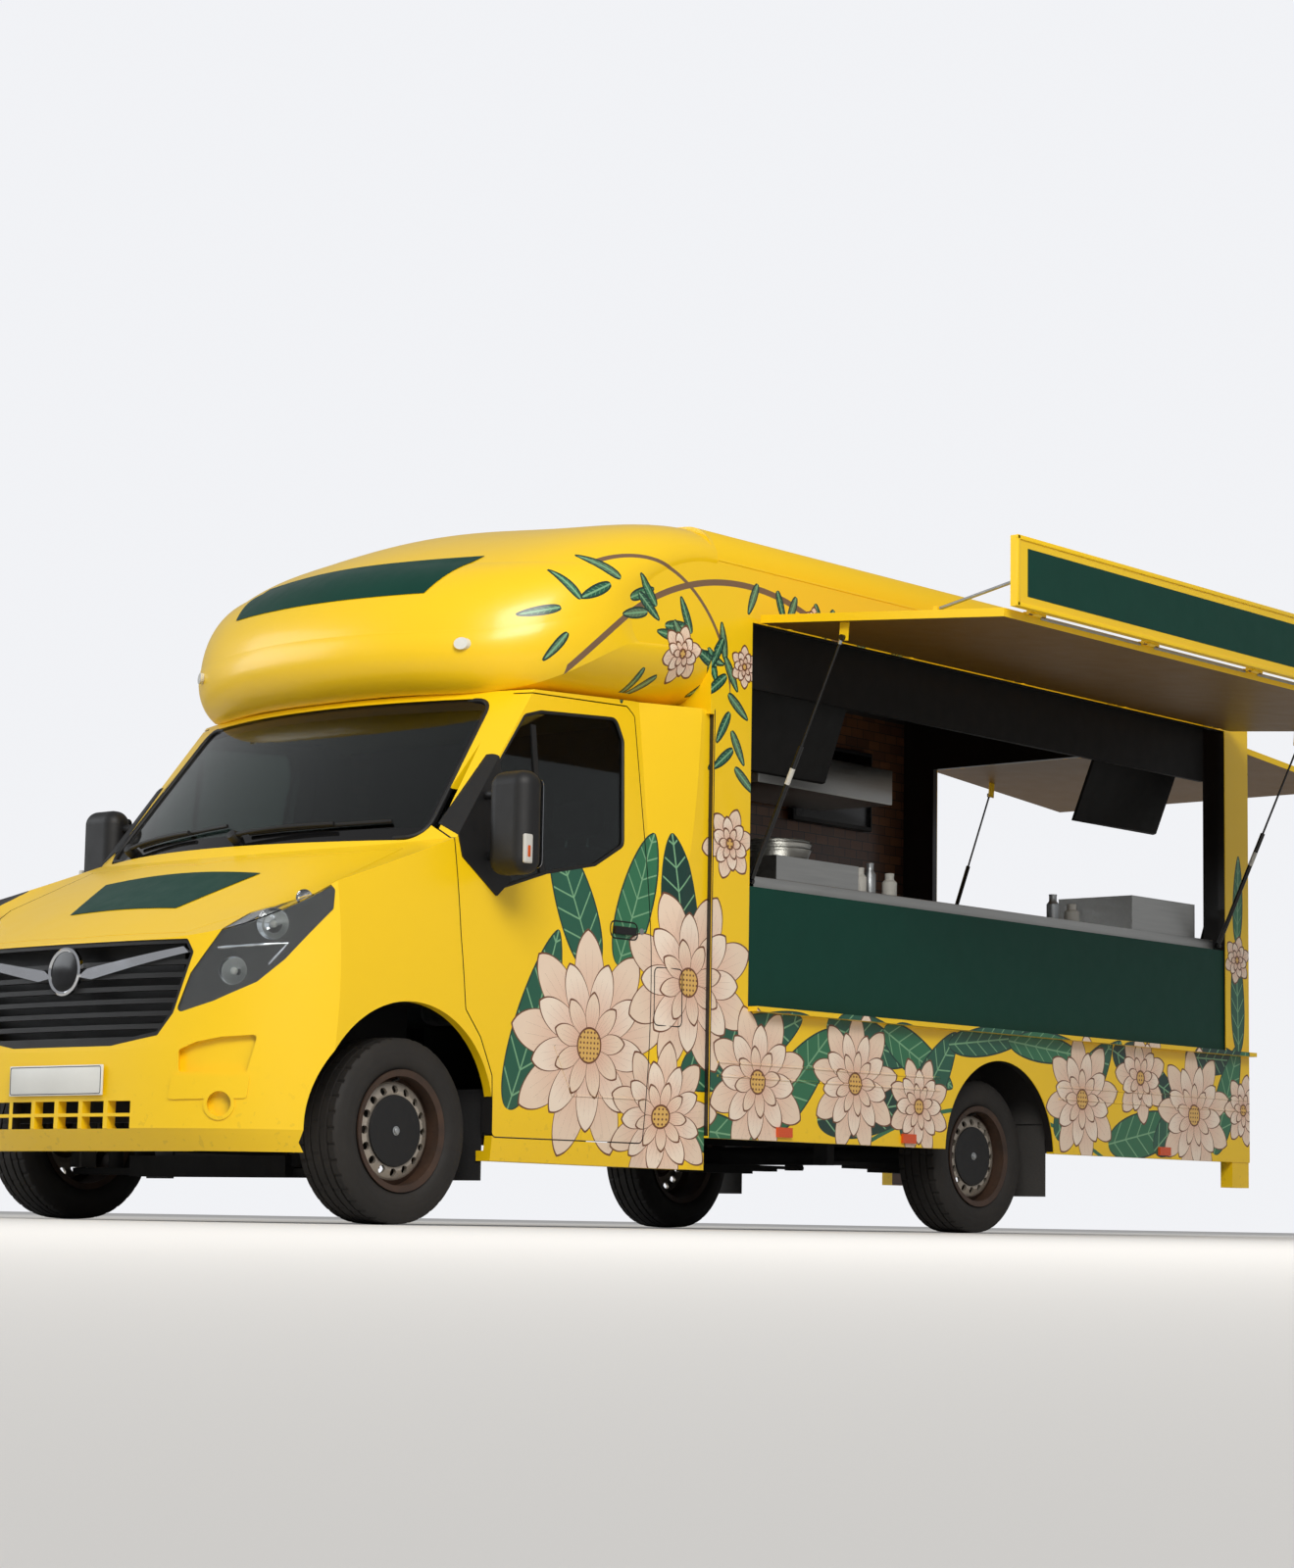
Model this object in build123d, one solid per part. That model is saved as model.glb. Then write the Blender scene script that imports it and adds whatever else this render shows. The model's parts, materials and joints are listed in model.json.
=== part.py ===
# Food truck: a catering body with an over-cab nose and a lift-up serving side, on a front-driven van.
# Millimetres. It is drawn about the front axle: X to the truck's left, Y rearward from the axle and
# Z up from the ground. At the end everything moves so that the origin is the bottom centre of the
# whole truck's box, on the ground. The front faces -Y, and the serving side faces +X.
import math
import os
from functools import lru_cache
from build123d import *

# Running gear
wheelbase = 3682.0
tyre_radius = 342.0
tyre_width = 225.0
front_tyre_x = 872.5
rear_tyre_x = 862.5
bead_radius = 212.0
flange_radius = 224.0
rim_half_width = 104.0
rim_skin = 12.0
rim_holes = 16
rim_hole_radius = 15.0
rim_hole_circle = 152.0
hub_cap_radius = 98.0
spindle_radius = 30.0
kingpin_x = 800.0
kingpin_radius = 12.0
run_gap = 0.3
arm_low_z = 190.0
arm_high_z = 476.0
arm_thick = 26.0

# Body box
body_half = 1070.0
body_front = 1650.0
body_rear = 5860.0
skirt_z = 364.0
sill_z = 235.0
wall = 40.0
roof_join_z = 2720.0
roof_edge_z = 2862.0
roof_crown_z = 2925.0
roof_radius = 150.0
floor_z = 540.0
floor_thick = 40.0
rail_x = 430.0
rail_width = 60.0
rail_top = floor_z - floor_thick

# Serving side and its hatch
serve_front = 1890.0
serve_rear = 5640.0
serve_low = 905.0
serve_high = 2494.0
hatch_gap = 5.0
hatch_axis_x = 1090.0
hatch_axis_z = 2502.0
hatch_length = 1235.0
hatch_droop = 4.6
hatch_skin = 34.0
hatch_drop = 12.0
hatch_start = 16.0
fascia_height = 281.0
fascia_thick = 30.0
stay_foot_u = 870.0
stay_tip_z = 2545.0
stay_radius = 7.0
hinge_pin_radius = 4.5
hinge_barrel_radius = 9.0
hinge_barrel_length = 60.0

# Struts: a tube on the jamb and a rod whose eye lies beside the hatch's bracket
strut_low_x = 1048.0
strut_low_z = 1422.0
strut_jamb_gap = 35.0
strut_eye_u = 425.0
strut_eye_v = -75.0
strut_tube_radius = 11.0
strut_rod_radius = 5.0
strut_tube_length = 585.0
strut_rod_length = 580.0
strut_eye_radius = 12.0
strut_eye_width = 22.0

# Rear hatch
rear_open_half = 835.0
rear_open_low = 1240.0
rear_open_high = 2462.0
rear_hatch_half = 900.0
rear_axis_y = 5880.0
rear_axis_z = 2480.0
rear_hatch_length = 1265.0

# Staff door, on the offside
staff_front = 1900.0
staff_width = 700.0
staff_low = 470.0
staff_high = 2380.0

# Cab: corners (y, z) of its side outline at stations from the middle outward, loft from side to side
door_gap = 5.0
seat_gap = 0.3
cab_wall = 38.0
door_thick = 55.0
glass_thick = 5.0
glass_set = 9.0
cab_top_z = 2100.0
cab_stations = (
    (0.0, ((-755, 250), (-812, 330), (-806, 610), (-782, 1015), (-110, 1390), (470, 2060))),
    (620.0, ((-690, 250), (-748, 330), (-745, 620), (-728, 1022), (15, 1408), (570, 2064))),
    (1045.0, ((-320, 250), (-370, 330), (-375, 640), (-380, 1245), (240, 1446), (760, 2074))),
)
flank_low = (995.0, sill_z)
flank_belly = (1036.0, 800.0)
flank_waist = (1014.0, 1400.0)
flank_top = (938.0, cab_top_z)
flank_rear_y = 1330.0

# Front arches and wheel wells
front_arch_radius = 470.0
rear_arch_radius = 425.0
well_inner_x = 535.0
well_top_z = 830.0

# Cab door outline, front edge down, along the sill, up the rear edge and over the top: (y, z)
door_outline = (
    (195, 1560), (225, 1080), (258, 800), (345, 700), (420, 560), (445, 330),
    (1318, 330), (1322, 1100), (1300, 2040), (1255, 2076), (650, 2056), (598, 2036),
)
window_outline = (
    (262, 1496), (640, 1964), (735, 1990), (1185, 2016), (1222, 1930), (1180, 1500),
    (1000, 1404), (710, 1347), (430, 1262), (268, 1395),
)
door_inner_x = 872.0
door_axis_x = 1022.0

# Kitchen: joints between worktops as (y, x0, x1, z), and appliances as (x0, x1, y0, y1, z, height)
counter_z = 1445.0
worktop_z = 1360.0
worktop_joints = (
    (2790.0, 420.0, 1050.0, counter_z), (4890.0, 420.0, 1050.0, counter_z), (3860.0, -1050.0, -470.0, worktop_z),
)
appliance_boxes = (
    (560.0, 980.0, 2180.0, 2750.0, counter_z, 115.0), (560.0, 980.0, 4930.0, 5500.0, counter_z, 175.0),
    (-940.0, -520.0, 3900.0, 5000.0, worktop_z, 340.0),
)

sail_outline = ((216, 1500), (470, 1800), (500, 1620), (500, 1300), (420, 1235), (240, 1370))
mirror_middle = (1165.0, 370.0, 1500.0)
mirror_size = (200.0, 125.0, 390.0)
mirror_radius = 56.0
handle_y = 1155.0
handle_z = 1160.0
seat_back_outline = ((1300, 900), (1430, 900), (1570, 1560), (1470, 1600), (1440, 1560))

# Windscreen, headlamps and grille, as outlines seen from the front: (x, z) or (s, z)
screen_outline = ((-905, 1432), (905, 1432), (812, 2036), (-812, 2036))
headlamp_from = (1000.0, -420.0)
headlamp_to = (600.0, -730.0)
headlamp_outline = (
    (44, 1262), (-20, 1190), (-16, 1120), (60, 1034), (147, 934), (243, 852), (403, 782),
    (546, 738), (492, 884), (376, 1043), (244, 1157), (129, 1231),
)
lamp_depth = 75.0
lamp_bowls = ((196.0, 1062.0, 58.0), (334.0, 892.0, 52.0))
recess_outline = ((526, 609), (461, 637), (366, 655), (235, 664), (270, 532), (523, 530))
ledge_outline = ((549, 519), (257, 522), (267, 438), (563, 432))
fog_place = (367.0, 418.0)
fog_radii = (58.0, 44.0)
grille_outline = ((-600, 1008), (600, 1008), (628, 960), (560, 741), (497, 661), (274, 626),
                  (-274, 626), (-497, 661), (-560, 741), (-628, 960))
grille_back = (-540.0, 540.0, -690.0, -686.0, 622.0, 1006.0)
slam_panel = (-590.0, 590.0, -722.0, -690.0, 860.0, 1150.0)
grille_bars = 7
grille_bar_pitch = 46.0
grille_bar_height = 18.0
grille_frame = 16.0
bumper_line = (
    (-900, 200), (-255, 200), (-255, 727), (-430, 935), (-500, 938), (-560, 850), (-700, 775), (-900, 735),
)
intake_half = 400.0
intake_rows = ((328.0, 372.0), (384.0, 428.0))
intake_slots = 6
intake_share = 0.84
emblem_z = 905.0
emblem_radius = 88.0
wing_bar = ((75, 884), (120, 912), (590, 980), (612, 958), (150, 872))

# Bonnet, seen from above, right half from the middle: (x, y)
bonnet_half = (
    (0, -757), (560, -712), (612, -648), (838, -440), (885, -350), (885, 66), (560, -66), (0, -165),
)
bonnet_skin = 30.0
bonnet_low_z = 1012.0

# Over-cab cap, lofted from side to side: x, nose y, foot z and top z of its section at each station.
# The section's arcs run through points given as shares of its depth and of its height.
cap_stations = (
    (0.0, 345.0, 2062.0, 2921.0), (560.0, 430.0, 2062.0, 2888.0), (880.0, 608.0, 2086.0, 2869.0),
    (1025.0, 815.0, 2180.0, 2815.0), (body_half, 1130.0, 2310.0, 2704.0),
)
cap_arcs = (
    ((0.085, 0.0), (0.012, 0.09), (0.0, 0.28)),
    ((0.0, 0.28), (0.045, 0.46), (0.20, 0.66)),
    ((0.20, 0.66), (0.50, 0.875), (1.0, 1.0)),
)
cap_foot_rise = 38.0
cap_throat_half = 880.0
cap_throat_z = (2260.0, 2790.0)
cap_collar = 25.0
cap_wall = 30.0


def prism_x(points, x0, x1, radius=0.0):
    """A solid from an outline of (y, z) points, from x0 to x1."""
    path = [(x0, y, z) for y, z in points]
    wire = FilletPolyline(*path, radius=radius, close=True) if radius else Polyline(*path, close=True)
    return extrude(make_face(wire), amount=x1 - x0, dir=(1, 0, 0))


def prism_y(points, y0, y1, radius=0.0):
    """A solid from an outline of (x, z) points, from y0 to y1."""
    path = [(x, y0, z) for x, z in points]
    wire = FilletPolyline(*path, radius=radius, close=True) if radius else Polyline(*path, close=True)
    return extrude(make_face(wire), amount=y1 - y0, dir=(0, 1, 0))


def prism_z(points, z0, z1, radius=0.0):
    """A solid from an outline of (x, y) points, from z0 to z1."""
    path = [(x, y, z0) for x, y in points]
    wire = FilletPolyline(*path, radius=radius, close=True) if radius else Polyline(*path, close=True)
    return extrude(make_face(wire), amount=z1 - z0, dir=(0, 0, 1))


def block(x0, x1, y0, y1, z0, z1):
    """A box between two corners."""
    middle = Pos((x0 + x1) / 2, (y0 + y1) / 2, (z0 + z1) / 2)
    return middle * Box(x1 - x0, y1 - y0, z1 - z0)


def rod_between(a, b, radius):
    """A cylinder from point a to point b."""
    a, b = Vector(*a), Vector(*b)
    plane = Plane(origin=a, z_dir=(b - a))
    return extrude(plane * Circle(radius), amount=(b - a).length)


def other_side(solid):
    """The same piece on the truck's right."""
    return mirror(solid, Plane.YZ)


def inset_face(points_3d, inset):
    """A flat face from points, drawn in by a distance."""
    face = make_face(Polyline(*points_3d, close=True))
    if inset:
        face = offset(face, -inset, kind=Kind.INTERSECTION)
    return face


def cab_station_face(x, corners, inset):
    """The cab's side outline at one station, closed along the sill and the rear."""
    rear = body_front + wall
    points = [(rear, sill_z), *corners, (rear, cab_top_z + 20.0)]
    return inset_face([(x, y, z) for y, z in points], inset)


def flank_face(y, low, belly, waist, top, inset):
    """The cab's section across the truck, with curved sides."""
    right = [
        ThreePointArc((low[0], y, low[1]), (belly[0], y, belly[1]), (waist[0], y, waist[1])),
        Line((waist[0], y, waist[1]), (top[0], y, top[1])),
    ]
    left = [
        Line((-top[0], y, top[1]), (-waist[0], y, waist[1])),
        ThreePointArc((-waist[0], y, waist[1]), (-belly[0], y, belly[1]), (-low[0], y, low[1])),
    ]
    closing = [Line((top[0], y, top[1]), (-top[0], y, top[1])), Line((-low[0], y, low[1]), (low[0], y, low[1]))]
    face = make_face([*right, closing[0], *left, closing[1]])
    if inset:
        face = offset(face, -inset, kind=Kind.INTERSECTION)
    return face


@lru_cache(maxsize=None)
def cab_volume(inset=0.0):
    """The cab's outer form, drawn in all round by inset."""
    faces = []
    for x, corners in reversed(cab_stations[1:]):
        faces.append(cab_station_face(-x, corners, inset))
    for x, corners in cab_stations:
        faces.append(cab_station_face(x, corners, inset))
    nose = loft(faces)
    section = flank_face(-900.0, flank_low, flank_belly, flank_waist, flank_top, inset)
    front = extrude(section, amount=900.0 + flank_rear_y, dir=(0, 1, 0))
    flare = loft([
        flank_face(flank_rear_y, flank_low, flank_belly, flank_waist, flank_top, inset),
        flank_face(body_front, (body_half - 3, sill_z), (body_half, 800.0), (body_half - 2, 1400.0),
                   (body_half - 6, cab_top_z), inset),
    ], ruled=True)
    return nose & (front + flare)


def arch_cut(x0, x1, y, radius):
    """The round opening over a wheel, open below."""
    centre = tyre_radius
    return (Pos((x0 + x1) / 2, y, centre) * Rot(0, 90, 0) * Cylinder(radius, x1 - x0)
            + block(x0, x1, y - radius, y + radius, 0, centre))


def nose_prism(face):
    """A flat face of (s, z) points, pushed through the nose's corner square to the headlamp."""
    start = Vector(*headlamp_from, 0)
    along = (Vector(*headlamp_to, 0) - start).normalized()
    plane = Plane(origin=start, x_dir=along, z_dir=along.cross(Vector(0, 0, 1)))
    return extrude(plane * Pos(0, 0, -300) * face, amount=300 + lamp_depth)


def nose_outline(points, radius):
    """A rounded outline of (s, z) points, pushed through the nose's corner."""
    return nose_prism(make_face(FilletPolyline(*points, radius=radius, close=True)))

def body_section(inset, low):
    """The body's section across the truck: upright sides, rounded shoulders and a crowned roof."""
    half = body_half - inset
    edge = roof_edge_z - inset
    points = [(-half, low), (half, low), (half, edge), (0, roof_crown_z - inset), (-half, edge)]
    shoulder = roof_radius - inset
    path = [(x, body_front, z) for x, z in points]
    return make_face(FilletPolyline(*path, radius=[1, 1, shoulder, 2000, shoulder], close=True))


def body_volume(inset, low, y0, y1):
    """The body's section drawn out along the truck."""
    face = Pos(0, y0 - body_front, 0) * body_section(inset, low)
    return extrude(face, amount=y1 - y0, dir=(0, 1, 0))


def cap_section(x, nose, low, top, inset):
    """The cap's side outline at one station: three arcs from its foot to its top, closed at the rear."""
    nose, low, top, rear = nose + inset, low + inset, top - inset, body_front - inset

    def point(share):
        return (x, nose + (rear - nose) * share[0], low + (top - low) * share[1])

    arcs = [ThreePointArc(*[point(share) for share in shares]) for shares in cap_arcs]
    back = Polyline(point((1.0, 1.0)), (x, rear, low + cap_foot_rise), point(cap_arcs[0][0]))
    return make_face([*arcs, back])


def cap_volume(inset=0.0, ruled=False):
    """The over-cab cap's outer form, drawn in all round by inset."""
    scale = (body_half - inset) / body_half
    faces = []
    for x, nose, low, top in reversed(cap_stations[1:]):
        faces.append(cap_section(-x * scale, nose, low, top, inset))
    for x, nose, low, top in cap_stations:
        faces.append(cap_section(x * scale, nose, low, top, inset))
    return loft(faces, ruled=ruled)


def outline_prism(points, x0, x1, radius, grow=0.0):
    """A prism across the truck from a rounded (y, z) outline, grown or drawn in."""
    face = make_face(Polyline(*[(x0, y, z) for y, z in points], close=True))
    if grow:
        face = offset(face, grow, kind=Kind.INTERSECTION)
    face = fillet(face.vertices(), radius + grow)
    return extrude(face, amount=x1 - x0, dir=(1, 0, 0))


def bonnet_prism(grow=0.0):
    """The bonnet's plan outline, drawn up and down through the nose."""
    right = list(bonnet_half)
    points = right + [(-x, y) for x, y in reversed(right[1:-1])]
    face = make_face(Polyline(*[(x, y, bonnet_low_z) for x, y in points], close=True))
    if grow:
        face = offset(face, grow, kind=Kind.INTERSECTION)
    return extrude(face, amount=600, dir=(0, 0, 1))


parts = {}
cab_outer = cab_volume()
cab_skin = cab_outer - cab_volume(cab_wall)
screen_hole = prism_y(screen_outline, -400, 800, radius=70)
grille_face = make_face(FilletPolyline(*[(x, -1000, z) for x, z in grille_outline], radius=14, close=True))
grille_hole = extrude(grille_face, amount=420, dir=(0, 1, 0))
lamp_hole = nose_outline(headlamp_outline, 14)
lamp_holes = lamp_hole + other_side(lamp_hole)
screen_face = make_face(Polyline(*[(x, -400, z) for x, z in screen_outline], close=True))
screen_clear = extrude(offset(screen_face, 30, kind=Kind.INTERSECTION), amount=1200, dir=(0, 1, 0))
door_hole = outline_prism(door_outline, door_inner_x, 1110, 26)
arches = arch_cut(well_inner_x, 1110, -20, front_arch_radius)
arches += other_side(arches)
bumper_zone = prism_x(bumper_line, -1100, 1100)
underside = block(-925, 925, -690, body_front + 5, 200, 300)


def make_cab():
    """Cab shell, bumper, grille, lamps, screen, bonnet and doors, all cut from the same form."""
    shell = cab_skin - screen_hole - grille_hole - lamp_holes - door_hole - other_side(door_hole)
    shell = shell - arches - underside - bonnet_prism()
    shell -= block(-1000, 1000, body_front - 60, body_front + 5, sill_z - 10, cab_top_z + 10)
    parts["cab_shell"] = shell - bumper_zone - block(-1100, 1100, body_front, body_front + 200, 0, 2300)
    bumper = (cab_skin & bumper_zone) - grille_hole - lamp_holes - arches - underside
    slot_pitch = 2 * intake_half / intake_slots
    for low, high in intake_rows:
        for i in range(intake_slots):
            x = -intake_half + (i + 0.5) * slot_pitch
            half = slot_pitch * intake_share / 2
            bumper -= block(x - half, x + half, -900, -700, low, high)
    trim_skin = cab_volume(-6) - cab_volume(6)
    recess = nose_outline(recess_outline, 12) - cab_volume(bonnet_skin)
    outer_fog, inner_fog = [nose_prism(Pos(*fog_place) * Circle(radius)) for radius in fog_radii]
    relief = trim_skin & (nose_outline(ledge_outline, 12) + outer_fog)
    for piece in (relief, other_side(relief)):
        bumper += piece
    for piece in (recess, inner_fog - cab_volume(bonnet_skin)):
        bumper -= piece
        bumper -= other_side(piece)
    parts["bumper"] = bumper

    panel = cab_volume(6) - cab_volume(34)
    ring = grille_hole - extrude(offset(grille_face, -grille_frame), amount=420, dir=(0, 1, 0))
    bars = [block(-700, 700, -1000, -580, z, z + grille_bar_height)
            for z in [640 + i * grille_bar_pitch for i in range(grille_bars)]]
    parts["grille"] = panel & grille_hole & (ring + bars)
    parts["grille"] = (parts["grille"] & block(-800, 800, -1000, -690, 0, 1200)) - lamp_holes
    parts["grille"] += block(*grille_back)
    emblem = Pos(0, -800, emblem_z) * Rot(90, 0, 0) * Cylinder(emblem_radius, 200)
    wing = prism_y(wing_bar, -1000, -600)
    parts["grille_trim"] = trim_skin & (emblem + wing + other_side(wing))
    parts["headlamps"] = ((cab_volume(1) - cab_volume(6)) & lamp_holes) - bonnet_prism()
    housings = ((cab_volume(glass_set) - cab_volume(door_thick + 6)) & lamp_holes) - bonnet_prism()
    for s, z, radius in lamp_bowls:
        bowl = nose_prism(Pos(s, z) * Circle(radius)) - cab_volume(door_thick)
        housings = housings - bowl - other_side(bowl)
    parts["lamp_housings"] = housings
    parts["windscreen"] = (cab_volume(glass_set) - cab_volume(glass_set + glass_thick)) & screen_hole
    parts["bonnet"] = (cab_outer - cab_volume(bonnet_skin)) & bonnet_prism(-door_gap)

    slam = block(*slam_panel) & cab_volume(bonnet_skin + seat_gap)
    perch = block(780, 945, 8, 44, 1250, 1500) & cab_volume(bonnet_skin + seat_gap)
    pads = cab_skin & (door_hole - outline_prism(door_outline, door_inner_x, 1110, 26, seat_gap - door_gap))
    pad_x = door_axis_x - 24
    pads = pads & (block(900, pad_x, 0, 600, 900, 960) + block(900, pad_x, 0, 600, 1150, 1210)
                   + block(900, pad_x, 1200, 1400, 1020, 1080))
    fittings = perch + pads
    parts["cab_shell"] = parts["cab_shell"] + slam + fittings + other_side(fittings) - grille_hole
    parts["headlamps"] -= parts["cab_shell"]
    parts["lamp_housings"] = parts["lamp_housings"] - parts["cab_shell"] - parts["grille"]

    door_skin = cab_outer - cab_volume(door_thick)
    window = outline_prism(window_outline, door_inner_x, 1110, 40)
    door = (door_skin & outline_prism(door_outline, door_inner_x, 1110, 26, -door_gap)) - window - screen_clear
    glass = (cab_volume(glass_set) - cab_volume(glass_set + glass_thick)) & window
    sail = (cab_volume(-6) - cab_outer) & outline_prism(sail_outline, 900, 1110, 8)
    (mx, my, mz), (dx, dy, dz) = mirror_middle, mirror_size
    housing = block(mx - dx / 2, mx + dx / 2, my - dy / 2, my + dy / 2, mz - dz / 2, mz + dz / 2)
    housing = fillet(housing.edges(), mirror_radius)
    arms = None
    for z in (mz - dz * 0.3, mz + dz * 0.3):
        arm = rod_between((970, my + 20, z), (mx, my, z), 17) - cab_outer
        arms = arm if arms is None else arms + arm
    grip = block(900, 1110, handle_y - 62, handle_y + 62, handle_z - 15, handle_z + 15)
    handle = (cab_volume(-26) - cab_outer) & grip
    trim = sail + arms + housing + handle
    for side, flip in (("left", False), ("right", True)):
        parts["cab_door_" + side] = other_side(door) if flip else door
        parts["door_glass_" + side] = other_side(glass) if flip else glass
        parts["door_trim_" + side] = other_side(trim) if flip else trim


def knuckled_hinge(origin, axis, pin_side, leaf_side, pin_reach, leaf_reach, thick):
    """A barrel hinge about a line: returns the pin with its two end knuckles, and the sleeve between.

    pin_side and leaf_side are the directions, square to the axis, in which each half runs to what it is on.
    """
    origin, axis = Vector(*origin), Vector(*axis).normalized()
    half = hinge_barrel_length / 2
    knuckle = hinge_barrel_length * 0.45

    def barrel(start, length, radius):
        return extrude(Plane(origin=origin + axis * start, z_dir=axis) * Circle(radius), amount=length)

    def web(start, length, direction, reach):
        side = Vector(*direction).normalized()
        plane = Plane(origin=origin + axis * start + side * (reach / 2), x_dir=side, z_dir=axis)
        return extrude(plane * Rectangle(reach, thick), amount=length)

    outer = half + 1.0
    fixed = barrel(-outer - knuckle, 2 * (outer + knuckle), hinge_pin_radius)
    for start in (-outer - knuckle, outer):
        fixed += barrel(start, knuckle, hinge_barrel_radius) + web(start, knuckle, pin_side, pin_reach)
    moving = barrel(-half, 2 * half, hinge_barrel_radius) + web(-half, 2 * half, leaf_side, leaf_reach)
    moving -= barrel(-half - 1, 2 * half + 2, hinge_pin_radius + run_gap)
    return fixed, moving


def make_luton():
    """The over-cab cap, with a collar where it meets the body, open to the body behind it."""
    cap = cap_volume() - cap_volume(cap_wall, True)
    cap += body_volume(0, cab_top_z - 20, body_front - cap_collar, body_front)
    half = body_half - wall
    low, high = cap_throat_z
    throat = block(-half, half, body_front - 60, body_front + 10, low, high)
    throat += block(-cap_throat_half, cap_throat_half, body_front - 60, body_front + 10, cab_top_z + wall, high)
    parts["luton_cap"] = cap - throat - cab_outer


def make_body():
    """The four walls and the roof of the catering body, cut at its openings."""
    shell = body_volume(0, skirt_z, body_front, body_rear) - body_volume(wall, 0, body_front - 5, body_rear + 5)
    serve = block(900, 1200, serve_front, serve_rear, serve_low, serve_high)
    rear_arch = arch_cut(well_inner_x, 1200, wheelbase + 20, rear_arch_radius)
    staff = block(-1200, -900, staff_front, staff_front + staff_width, staff_low, staff_high)
    left = shell & block(0, 1200, 0, body_rear + 10, 0, roof_join_z)
    right = shell & block(-1200, 0, 0, body_rear + 10, 0, roof_join_z)
    parts["roof"] = shell & block(-1200, 1200, 0, body_rear + 10, roof_join_z, 3200)
    ledge = block(body_half, body_half + 50, serve_front, body_rear - 10, serve_low - 20, serve_low)
    foot = block(body_half - 70, body_half - 4, body_rear - 160, body_rear - 4, 240, skirt_z + 6)
    left = left - serve - rear_arch + ledge + foot
    right = right - other_side(rear_arch) - staff + other_side(foot)
    rear = body_volume(wall, floor_z - floor_thick - 60, body_rear - wall, body_rear)
    rear -= block(-rear_open_half, rear_open_half, body_rear - 100, body_rear + 50, rear_open_low, rear_open_high)
    bulkhead = body_volume(wall, floor_z, body_front + 120, body_front + 145)
    parts["bulkhead"] = bulkhead & block(-1100, 1100, 0, 3000, 0, cab_top_z + wall)
    parts["side_wall_left"] = left
    parts["side_wall_right"] = right
    parts["rear_wall"] = rear


def strut(low, eye, side_axis):
    """A gas strut between two points: the tube from its lower eye, and the rod to its upper eye."""
    low, eye = Vector(*low), Vector(*eye)
    along = (eye - low).normalized()
    axis = Vector(*side_axis)
    foot = Plane(origin=low + along * 14, z_dir=along)
    tube = extrude(foot * Circle(strut_tube_radius), amount=strut_tube_length)
    tube += extrude(Plane(origin=low - axis * 8, z_dir=axis) * Circle(15), amount=16)
    tube -= extrude(Plane(origin=low + along * 34, z_dir=along) * Circle(strut_rod_radius + 0.4),
                    amount=strut_tube_length)
    tube -= extrude(Plane(origin=low - axis * 20, z_dir=axis) * Circle(hinge_pin_radius + run_gap), amount=40)
    rod = extrude(Plane(origin=eye - along * 10, z_dir=along * -1) * Circle(strut_rod_radius),
                  amount=strut_rod_length)
    rod += extrude(Plane(origin=eye - axis * 8, z_dir=axis) * Circle(strut_eye_radius), amount=16)
    return tube, rod


def hatch_point(axis_h, axis_v, u, v):
    """A point on a raised hatch, from distances along it and above its hinge line."""
    a = math.radians(hatch_droop)
    return (axis_h + u * math.cos(a) + v * math.sin(a), axis_v - u * math.sin(a) + v * math.cos(a))


def hatch_corners(axis_h, axis_v, u0, u1, v0, v1):
    """The four corners of a flat piece of a raised hatch."""
    return [hatch_point(axis_h, axis_v, u, v) for u, v in ((u0, v0), (u1, v0), (u1, v1), (u0, v1))]


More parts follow.
